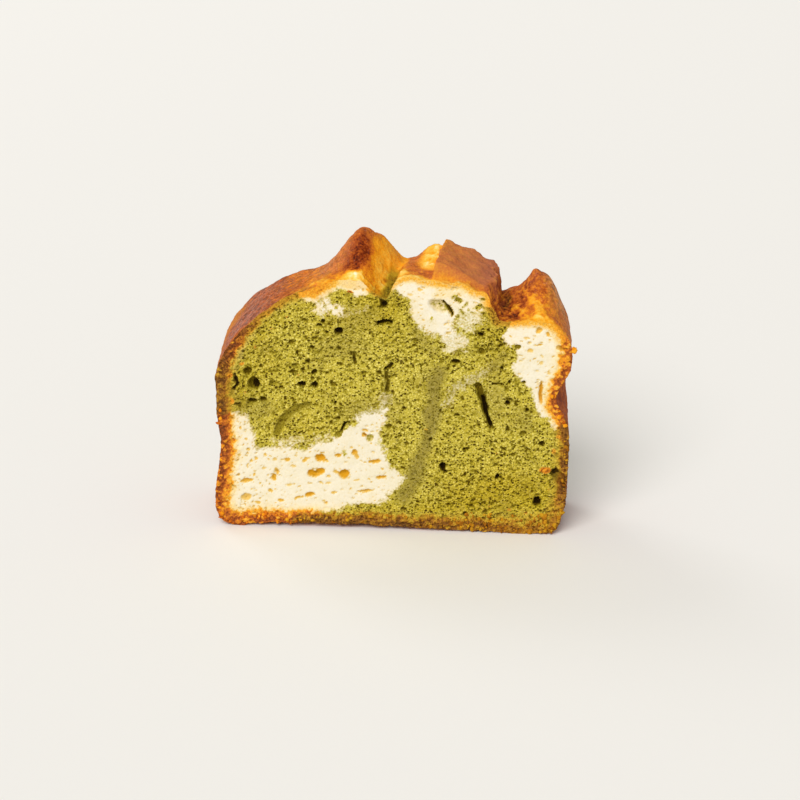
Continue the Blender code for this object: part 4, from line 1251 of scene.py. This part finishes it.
def new_group(name, inputs, outputs):
    """An empty node group with its sockets, each a label and a kind: its tree, the sockets that it is
    given, and its output node."""
    tree = bpy.data.node_groups.new(name, "ShaderNodeTree")
    for way, sockets in (("INPUT", inputs), ("OUTPUT", outputs)):
        for label, kind in sockets:
            tree.interface.new_socket(label, in_out=way, socket_type="NodeSocket" + kind)
    return tree, tree.nodes.new("NodeGroupInput").outputs, tree.nodes.new("NodeGroupOutput")


def feed(tree, node, inputs):
    """Links a node's inputs from sockets, or sets them to values."""
    for key, value in inputs.items():
        if isinstance(value, bpy.types.NodeSocket):
            tree.links.new(value, node.inputs[key])
        else:
            node.inputs[key].default_value = value


def add_node(tree, kind, inputs, **settings):
    """A node with its settings, and its inputs linked from sockets or set to values."""
    node = tree.nodes.new(kind)
    for key, value in settings.items():
        setattr(node, key, value)
    feed(tree, node, inputs)
    return node


def place_group(tree, name, inputs):
    """A shared node group placed in a tree, and its outputs."""
    return add_node(tree, "ShaderNodeGroup", inputs, node_tree=bpy.data.node_groups[name]).outputs


def maths(tree, operation, first, second, third=0.0):
    """A Math node's result."""
    return add_node(tree, "ShaderNodeMath", {0: first, 1: second, 2: third}, operation=operation).outputs[0]


def product(tree, first, *others):
    """The values multiplied, one after another."""
    for other in others:
        first = maths(tree, "MULTIPLY", first, other)
    return first


def less(tree, first, second):
    """First less second."""
    return maths(tree, "SUBTRACT", first, second)


def largest(tree, first, second):
    """The larger value."""
    return maths(tree, "MAXIMUM", first, second)


def scaled(tree, value, factor, offset):
    """Value times factor, plus offset."""
    return maths(tree, "MULTIPLY_ADD", value, factor, offset)


def centred(tree, value, factor, offset):
    """How far value is above a half, times factor, plus offset."""
    return scaled(tree, less(tree, value, 0.5), factor, offset)


def blend(tree, share, first, second, mode="MIX"):
    """Colour between first and second by share, each a socket or a red, green and blue."""
    first, second = (
        colour if isinstance(colour, bpy.types.NodeSocket) else (*colour, 1.0) for colour in (first, second)
    )
    inputs = {0: share, 6: first, 7: second}
    return add_node(tree, "ShaderNodeMix", inputs, data_type="RGBA", blend_type=mode).outputs[2]


def stretch_range(tree, value, low, high, to_low=0.0, to_high=1.0):
    """A Map Range node: value from low to high made to run from to_low to to_high, clamped."""
    inputs = {0: value, 1: low, 2: high, 3: to_low, 4: to_high}
    return add_node(tree, "ShaderNodeMapRange", inputs).outputs[0]


def mask(tree, name):
    """A piece's own attribute."""
    return add_node(tree, "ShaderNodeAttribute", {}, attribute_name=name).outputs["Fac"]


def noise_texture(tree, place, scale, detail=2.0, roughness=0.5):
    """A Noise texture's value at a place, with scale in waves for each metre."""
    inputs = {"Vector": place, "Scale": scale, "Detail": detail, "Roughness": roughness}
    return add_node(tree, "ShaderNodeTexNoise", inputs).outputs["Fac"]


def cells_texture(tree, place, scale, feature="F1"):
    """A Voronoi texture's outputs at a place, with scale in cells for each metre."""
    inputs = {"Vector": place, "Scale": scale}
    return add_node(tree, "ShaderNodeTexVoronoi", inputs, feature=feature).outputs


def tone_ramp(tree, value, stops):
    """A colour ramp over value with the listed stops."""
    ramp = add_node(tree, "ShaderNodeValToRGB", {0: value})
    elements = ramp.color_ramp.elements
    while len(elements) < len(stops):
        elements.new(0.5)
    for element, (place, colour) in zip(elements, stops):
        element.position = place
        element.color = (*tint(*colour), 1.0)
    return ramp.outputs["Color"]


# Colours of baked crust and of browned green crumb, from no browning to the most.
BAKED_STOPS = (
    (0.00, (254, 240, 202)),
    (0.16, (255, 218, 120)),
    (0.30, (250, 188, 66)),
    (0.46, (243, 158, 28)),
    (0.60, (214, 118, 30)),
    (0.74, (174, 84, 26)),
    (0.88, (128, 50, 10)),
    (1.00, (78, 28, 3)),
)
MOSSY_STOPS = (
    (0.00, (208, 190, 80)),
    (0.20, (206, 174, 46)),
    (0.40, (194, 150, 36)),
    (0.55, (174, 124, 30)),
    (0.70, (144, 94, 24)),
    (0.84, (104, 66, 14)),
    (1.00, (58, 36, 4)),
)
# Painted shade in pores and holes, as shares of the crumb's colour from none to the bottom of a pore:
# olive in green crumb, ochre in cream.
GREEN_SHADES = (
    (0.00, (255, 255, 255)),
    (0.30, (220, 219, 182)),
    (0.60, (172, 167, 108)),
    (0.80, (134, 124, 66)),
    (1.00, (84, 70, 22)),
)
CREAM_SHADES = (
    (0.00, (255, 255, 255)),
    (0.35, (249, 232, 186)),
    (0.65, (244, 208, 118)),
    (1.00, (226, 170, 46)),
)


def baked_tones_group():
    """Colour of baked crust from its browning, with a dusky, rosier tint, or mossy over green crumb."""
    inputs = (("Browning", "Float"), ("Dusky", "Float"), ("Mossy", "Float"))
    tree, given, result = new_group("baked_tones", inputs, (("Color", "Color"),))
    golden = tone_ramp(tree, given["Browning"], BAKED_STOPS)
    mossy = tone_ramp(tree, given["Browning"], MOSSY_STOPS)
    body = blend(tree, given["Mossy"], golden, mossy)
    rosy = blend(tree, product(tree, given["Dusky"], 0.75), body, tint(178, 110, 84))
    feed(tree, result, {"Color": rosy})


def grain_group():
    """Fine grain shared by all pieces: soft noise, and a height for a Bump, which is the noise less small
    pits."""
    outputs = (("Noise", "Float"), ("Height", "Float"))
    tree, given, result = new_group("fine_grain", (("Vector", "Vector"),), outputs)
    soft = noise_texture(tree, given["Vector"], 900.0, 3.0)
    cells = cells_texture(tree, given["Vector"], 1700.0)
    pits = stretch_range(tree, cells["Distance"], 0.12, 0.42, 1.0, 0.0)
    feed(tree, result, {"Noise": soft, "Height": less(tree, soft, product(tree, pits, 0.45))})


# How much closer the fine pores of the crumb lie up and down than across, and how far noise shakes them
# in metres.
PORE_SQUEEZE = (1.0, 1.0, 1.35)
PORE_SHAKE = 0.0005


def pores_group():
    """Fine pores, wider than high: the cells of a Voronoi pattern, on a place shaken by noise, filled
    out to a radius that each cell draws between the two given. Puts out a mask."""
    inputs = (("Vector", "Vector"), ("Scale", "Float"), ("Smallest", "Float"), ("Largest", "Float"))
    tree, given, result = new_group("fine_pores", inputs, (("Mask", "Float"),))
    kind = "ShaderNodeVectorMath"
    flatter = {0: given["Vector"], 1: PORE_SQUEEZE}
    place = add_node(tree, kind, flatter, operation="MULTIPLY").outputs[0]
    shake = add_node(tree, "ShaderNodeTexNoise", {"Vector": place, "Scale": 2600.0}).outputs["Color"]
    shake = add_node(tree, kind, {0: shake, 1: (0.5, 0.5, 0.5)}, operation="SUBTRACT").outputs[0]
    moves = {0: shake, 1: (PORE_SHAKE, PORE_SHAKE, PORE_SHAKE), 2: place}
    moved = add_node(tree, kind, moves, operation="MULTIPLY_ADD").outputs[0]
    cells = cells_texture(tree, moved, given["Scale"])
    chance = add_node(tree, "ShaderNodeSeparateColor", {0: cells["Color"]}).outputs[0]
    radius = stretch_range(tree, chance, 0.0, 1.0, given["Smallest"], given["Largest"])
    within = less(tree, radius, cells["Distance"])
    feed(tree, result, {"Mask": stretch_range(tree, within, -0.02, 0.07)})


def start_material(name):
    """A material, its node tree and object coordinates."""
    material = bpy.data.materials.new(name)
    material.use_nodes = True
    tree = material.node_tree
    return material, tree, add_node(tree, "ShaderNodeTexCoord", {}).outputs["Object"]


def finish_material(tree, inputs, bump=None):
    """Feeds the Principled shader, with its normal from a bump given as height, distance, strength."""
    if bump:
        bumps = dict(zip(("Height", "Distance", "Strength"), bump))
        inputs["Normal"] = add_node(tree, "ShaderNodeBump", bumps).outputs["Normal"]
    feed(tree, tree.nodes["Principled BSDF"], inputs)


def add_pores(tree, place, scale, smallest, widest):
    """The fine pores group's mask at a scale."""
    inputs = {"Vector": place, "Scale": scale, "Smallest": smallest, "Largest": widest}
    return place_group(tree, "fine_pores", inputs)["Mask"]


def crumb_material(colours):
    """Cut crumb: green and cream by mask, painted shade in pores and holes, browned near the crust."""
    material, tree, place = start_material("cut_crumb")
    names = ("cream", "pit", "dark", "pale", "rich", "bare", "browning")
    cream, pit, dark, pale, rich, bare, given = (mask(tree, name) for name in names)
    cloudy = noise_texture(tree, place, 260.0, 4.0)
    grainy = noise_texture(tree, place, 1900.0)
    speckle = stretch_range(tree, grainy, 0.38, 0.62)
    lumps = cells_texture(tree, place, 1450.0, "DISTANCE_TO_EDGE")["Distance"]
    lumps = stretch_range(tree, lumps, 0.0, 0.26)

    # Green and cream crumb, mixed where speckles lace the edge of the cream.
    # The green darkens along the lines between lumps, painted shade in the cracks; speckles and clouds vary
    # its own tone.
    light = product(tree, scaled(tree, speckle, 0.55, 0.45), lumps)
    light = product(tree, light, stretch_range(tree, cloudy, 0.32, 0.6, 0.55, 1.0))
    green = blend(tree, light, colours.green_deep, colours.green_light)
    green = blend(tree, product(tree, pale, 0.95), green, colours.green_pale)
    green = blend(tree, rich, green, (0.86, 0.79, 0.40), "MULTIPLY")
    warm = stretch_range(tree, cloudy, 0.42, 0.64)
    creamy = blend(tree, warm, colours.cream_light, colours.cream_deep)
    cool = stretch_range(tree, scaled(tree, cloudy, -0.8, rich), -0.45, 0.1, 0.75, 0.0)
    creamy = blend(tree, cool, creamy, tint(235, 228, 204))
    # Whiter speckles on the cream: painted highlights.
    creamy = blend(tree, product(tree, speckle, 0.25), creamy, tint(246, 238, 222))
    laced = scaled(tree, speckle, 0.35, less(tree, cream, 0.17))
    edge = stretch_range(tree, laced, 0.12, 0.88)
    body = blend(tree, edge, green, creamy)

    # Painted shade in the pores, fewer in cream and in pale crumb, and in the pits and holes of the mesh,
    # olive in the green and ochre in the cream.
    fine = add_pores(tree, place, 1600.0, 0.03, 0.43)
    coarse = add_pores(tree, place, 900.0, -0.13, 0.39)
    fewer = less(tree, 0.95, product(tree, cream, 0.87))
    fewer = less(tree, fewer, product(tree, pale, 0.35))
    fine = product(tree, largest(tree, fine, coarse), fewer)
    small = product(tree, pit, scaled(tree, cream, -0.15, 0.95))
    shade = largest(tree, largest(tree, small, fine), maths(tree, "POWER", dark, 0.7))
    darkened = blend(tree, edge, tone_ramp(tree, shade, GREEN_SHADES), tone_ramp(tree, shade, CREAM_SHADES))
    body = blend(tree, 1.0, body, darkened, "MULTIPLY")

    # Browned crumb near the crust, mossy where it was green, with painted shade in its pores and between
    # its lumps, and near-black painted shade in the deepest holes.
    green_share = less(tree, 1.0, edge)
    uneven = centred(tree, cloudy, 0.35, centred(tree, grainy, 0.8, given))
    share = stretch_range(tree, given, 0.15, 0.6)
    level = maths(tree, "ADD", given, product(tree, less(tree, uneven, given), share))
    mossy = product(tree, green_share, scaled(tree, bare, -0.9, 0.9))
    tones = place_group(tree, "baked_tones", {"Browning": level, "Mossy": mossy})
    # Painted shade in pores and holes and along the lines between lumps, laid over the browned crumb.
    pore_and_gap_shade = largest(tree, shade, stretch_range(tree, lumps, 0.0, 0.5, 0.4, 0.0))
    dusted = blend(tree, 0.06, tones["Color"], tint(246, 206, 140))
    baked = blend(tree, product(tree, pore_and_gap_shade, 0.74), dusted, tint(80, 40, 6))
    body = blend(tree, stretch_range(tree, level, 0.03, 0.34), body, baked)
    # Near-black painted shade in the deepest holes of the green crumb.
    hole_shade = product(tree, stretch_range(tree, dark, 0.75, 1.0), green_share, 0.65)
    body = blend(tree, hole_shade, body, tint(26, 18, 3))

    grain = place_group(tree, "fine_grain", {"Vector": place})
    height = scaled(tree, fine, -0.9, grain["Height"])
    height = scaled(tree, lumps, scaled(tree, edge, -0.6, 0.7), height)
    height = product(tree, height, scaled(tree, edge, -0.5, 1.0))
    rough = stretch_range(tree, grainy, 0.3, 0.7, 0.82, 0.96)
    inputs = {"Base Color": body, "Roughness": rough, "Specular IOR Level": 0.08}
    finish_material(tree, inputs, (height, 0.00014, 0.9))
    return material


def crust_material():
    """Baked crust: browning by mask and noise, mossy in the cleft, painted glints on the glossy shoulders.
    """
    material, tree, place = start_material("baked_crust")
    browning, dusky, olive, gloss = (mask(tree, name) for name in ("browning", "dusky", "olive", "gloss"))
    patches = noise_texture(tree, place, 480.0, 5.0)
    specks = noise_texture(tree, place, 2100.0)
    patchy = centred(tree, specks, 0.55, centred(tree, patches, 0.45, 0.0))
    lively = less(tree, 1.0, product(tree, dusky, 0.25))
    lively = product(tree, lively, stretch_range(tree, browning, 0.25, 0.8, 0.35, 1.0))
    level = scaled(tree, patchy, lively, browning)
    mossy = stretch_range(tree, olive, 0.0, 0.5)
    tones = place_group(tree, "baked_tones", {"Browning": level, "Dusky": dusky, "Mossy": mossy})
    moss = blend(tree, stretch_range(tree, specks, 0.36, 0.64), tint(70, 60, 6), tint(150, 130, 34))
    baked = blend(tree, stretch_range(tree, olive, 0.5, 1.0), tones["Color"], moss)
    # Where the crust is glossy: pale spots painted as glints, and finer light and dark specks, the light
    # ones also painted glints.
    glint_cells = cells_texture(tree, place, 1500.0)
    glint = stretch_range(tree, glint_cells["Distance"], 0.16, 0.3, 1.0, 0.0)
    glint = product(tree, glint, stretch_range(tree, patches, 0.46, 0.6))
    glint = product(tree, glint, product(tree, gloss, 0.55))
    body = blend(tree, glint, baked, tint(232, 190, 162))
    specks_and_glints = noise_texture(tree, place, 850.0, 3.0, 0.7)
    contrast = stretch_range(tree, specks_and_glints, 0.40, 0.60, -0.52, 0.30)
    body = blend(tree, 1.0, body, scaled(tree, contrast, gloss, 0.97), "MULTIPLY")
    sheen = noise_texture(tree, place, 1300.0)
    shine = product(tree, gloss, stretch_range(tree, sheen, 0.35, 0.65))
    grain = place_group(tree, "fine_grain", {"Vector": place})
    inputs = {
        "Base Color": body,
        "Roughness": stretch_range(tree, shine, 0.0, 1.0, 0.75, 0.4),
        "Specular IOR Level": 0.10,
        "Coat Weight": product(tree, shine, 0.22),
        "Coat Roughness": 0.35,
    }
    finish_material(tree, inputs, (grain["Height"], 0.00016, 0.8))
    return material


def grain_material():
    """Loose crumbs: browned crumb of uneven tone, some of it mossy."""
    material, tree, place = start_material("loose_grain")
    grain = place_group(tree, "fine_grain", {"Vector": place})
    level = centred(tree, grain["Noise"], 0.6, mask(tree, "browning"))
    tones = place_group(tree, "baked_tones", {"Browning": level, "Mossy": mask(tree, "mossy")})
    inputs = {"Base Color": tones["Color"], "Roughness": 0.85, "Specular IOR Level": 0.1}
    finish_material(tree, inputs, (grain["Height"], 0.0001, 0.7))
    return material


def floor_material(look):
    """Pale floor with a faint unevenness."""
    material, tree, place = start_material("pale_floor")
    paler = [channel * 1.012 for channel in look.floor_colour]
    body = blend(tree, noise_texture(tree, place, 1.5), look.floor_colour, paler)
    finish_material(tree, {"Base Color": body, "Roughness": 0.9, "Specular IOR Level": 0.1})
    return material


def shared_groups():
    """Makes the node groups that the materials share, once."""
    if "baked_tones" not in bpy.data.node_groups:
        baked_tones_group()
        grain_group()
        pores_group()


class CAKE_OT_crust(bpy.types.Operator):
    """Build the crust"""

    bl_idname = "cake.crust"
    bl_label = "Crust"

    def execute(self, context):
        shared_groups()
        build_crust(context.scene.slice_sizes, crust_material())
        return {"FINISHED"}


class CAKE_OT_faces(bpy.types.Operator):
    """Build both cut faces"""

    bl_idname = "cake.faces"
    bl_label = "Cut faces"

    def execute(self, context):
        shared_groups()
        material = crumb_material(context.scene.cake_colours)
        build_face(context.scene.slice_sizes, material, False)
        build_face(context.scene.slice_sizes, material, True)
        return {"FINISHED"}


class CAKE_OT_grains(bpy.types.Operator):
    """Build the loose crumbs"""

    bl_idname = "cake.grains"
    bl_label = "Loose crumbs"

    def execute(self, context):
        shared_groups()
        build_grains(context.scene.slice_sizes, grain_material())
        return {"FINISHED"}


def add_lamp(name, kind, place, aim, settings):
    """A lamp of the kind at a place, turned towards aim, with its settings."""
    lamp = bpy.data.lights.new(name, kind)
    for key, value in settings.items():
        setattr(lamp, key, value)
    thing = bpy.data.objects.new(name, lamp)
    thing.location = place
    thing.rotation_euler = (Vector(aim) - Vector(place)).to_track_quat("-Z", "Y").to_euler()
    bpy.context.scene.collection.objects.link(thing)


def add_camera():
    """The camera at the photo's angle: yaw, pitch and roll turned into the three axes of its matrix."""
    pitch, yaw, roll = (math.radians(angle) for angle in CAMERA_ANGLES)
    ahead = Vector((math.cos(pitch) * math.sin(yaw), math.cos(pitch) * math.cos(yaw), -math.sin(pitch)))
    level = Vector((math.cos(yaw), -math.sin(yaw), 0.0))
    above = level.cross(ahead)
    right = math.cos(roll) * level + math.sin(roll) * above
    up = math.cos(roll) * above - math.sin(roll) * level
    turn = Matrix((right, up, -ahead)).transposed().to_4x4()
    camera = bpy.data.cameras.new("main_view")
    camera.sensor_width = CAMERA_SENSOR
    camera.lens = CAMERA_LENS
    camera.clip_start, camera.clip_end = CAMERA_CLIP
    thing = bpy.data.objects.new("main_view", camera)
    thing.matrix_world = Matrix.Translation(Vector(CAMERA_PLACE) * MM) @ turn
    bpy.context.scene.collection.objects.link(thing)
    bpy.context.scene.camera = thing


class CAKE_OT_stage(bpy.types.Operator):
    """Add the floor, the lights, the sky and the camera"""

    bl_idname = "cake.stage"
    bl_label = "Stage"

    def execute(self, context):
        look = context.scene.stage_look
        half = look.floor_size / 2.0
        mesh = bpy.data.meshes.new("floor")
        corners = [(-half, -half, 0.0), (half, -half, 0.0), (half, half, 0.0), (-half, half, 0.0)]
        mesh.from_pydata(corners, [], [(0, 1, 2, 3)])
        mesh.materials.append(floor_material(look))
        floor = bpy.data.objects.new("floor", mesh)
        context.scene.collection.objects.link(floor)
        key = {"angle": math.radians(38.0), "energy": look.key_strength, "color": (1.0, 0.985, 0.96)}
        add_lamp("key", "SUN", (-0.7, -1.7, 1.9), (0.0, 0.0, 0.0), key)
        back = {"shape": "SQUARE", "size": 0.9, "energy": look.rim_power}
        add_lamp("back", "AREA", (-1.3, 1.2, 1.5), (0.0, 0.0, 0.05), back)
        world = bpy.data.worlds.new("soft_sky")
        world.use_nodes = True
        sky = world.node_tree.nodes["Background"]
        sky.inputs["Color"].default_value = (1.0, 0.99, 0.97, 1.0)
        sky.inputs["Strength"].default_value = look.sky_strength
        context.scene.world = world
        context.scene.view_settings.view_transform = "Standard"
        add_camera()
        return {"FINISHED"}


class CAKE_PT_panel(bpy.types.Panel):
    """Buttons and sizes of the slice"""

    bl_idname = "CAKE_PT_panel"
    bl_label = "Cake slice"
    bl_space_type = "VIEW_3D"
    bl_region_type = "UI"
    bl_category = "Cake"

    def draw(self, context):
        for operator in OPERATORS:
            self.layout.operator(operator.bl_idname)
        for group in (context.scene.slice_sizes, context.scene.cake_colours, context.scene.stage_look):
            for name in group.bl_rna.properties.keys():
                if name not in {"rna_type", "name"}:
                    self.layout.prop(group, name)


OPERATORS = (CAKE_OT_crust, CAKE_OT_faces, CAKE_OT_grains, CAKE_OT_stage)
GROUPS = (("slice_sizes", SliceSizes), ("cake_colours", CakeColours), ("stage_look", StageLook))


def register():
    for name, group in GROUPS:
        bpy.utils.register_class(group)
        setattr(bpy.types.Scene, name, bpy.props.PointerProperty(type=group))
    for operator in OPERATORS:
        bpy.utils.register_class(operator)
    bpy.utils.register_class(CAKE_PT_panel)


def unregister():
    bpy.utils.unregister_class(CAKE_PT_panel)
    for operator in reversed(OPERATORS):
        bpy.utils.unregister_class(operator)
    for name, group in reversed(GROUPS):
        delattr(bpy.types.Scene, name)
        bpy.utils.unregister_class(group)


def main():
    register()
    bpy.ops.cake.crust()
    bpy.ops.cake.faces()
    bpy.ops.cake.grains()
    bpy.ops.cake.stage()


if __name__ == "__main__":
    main()
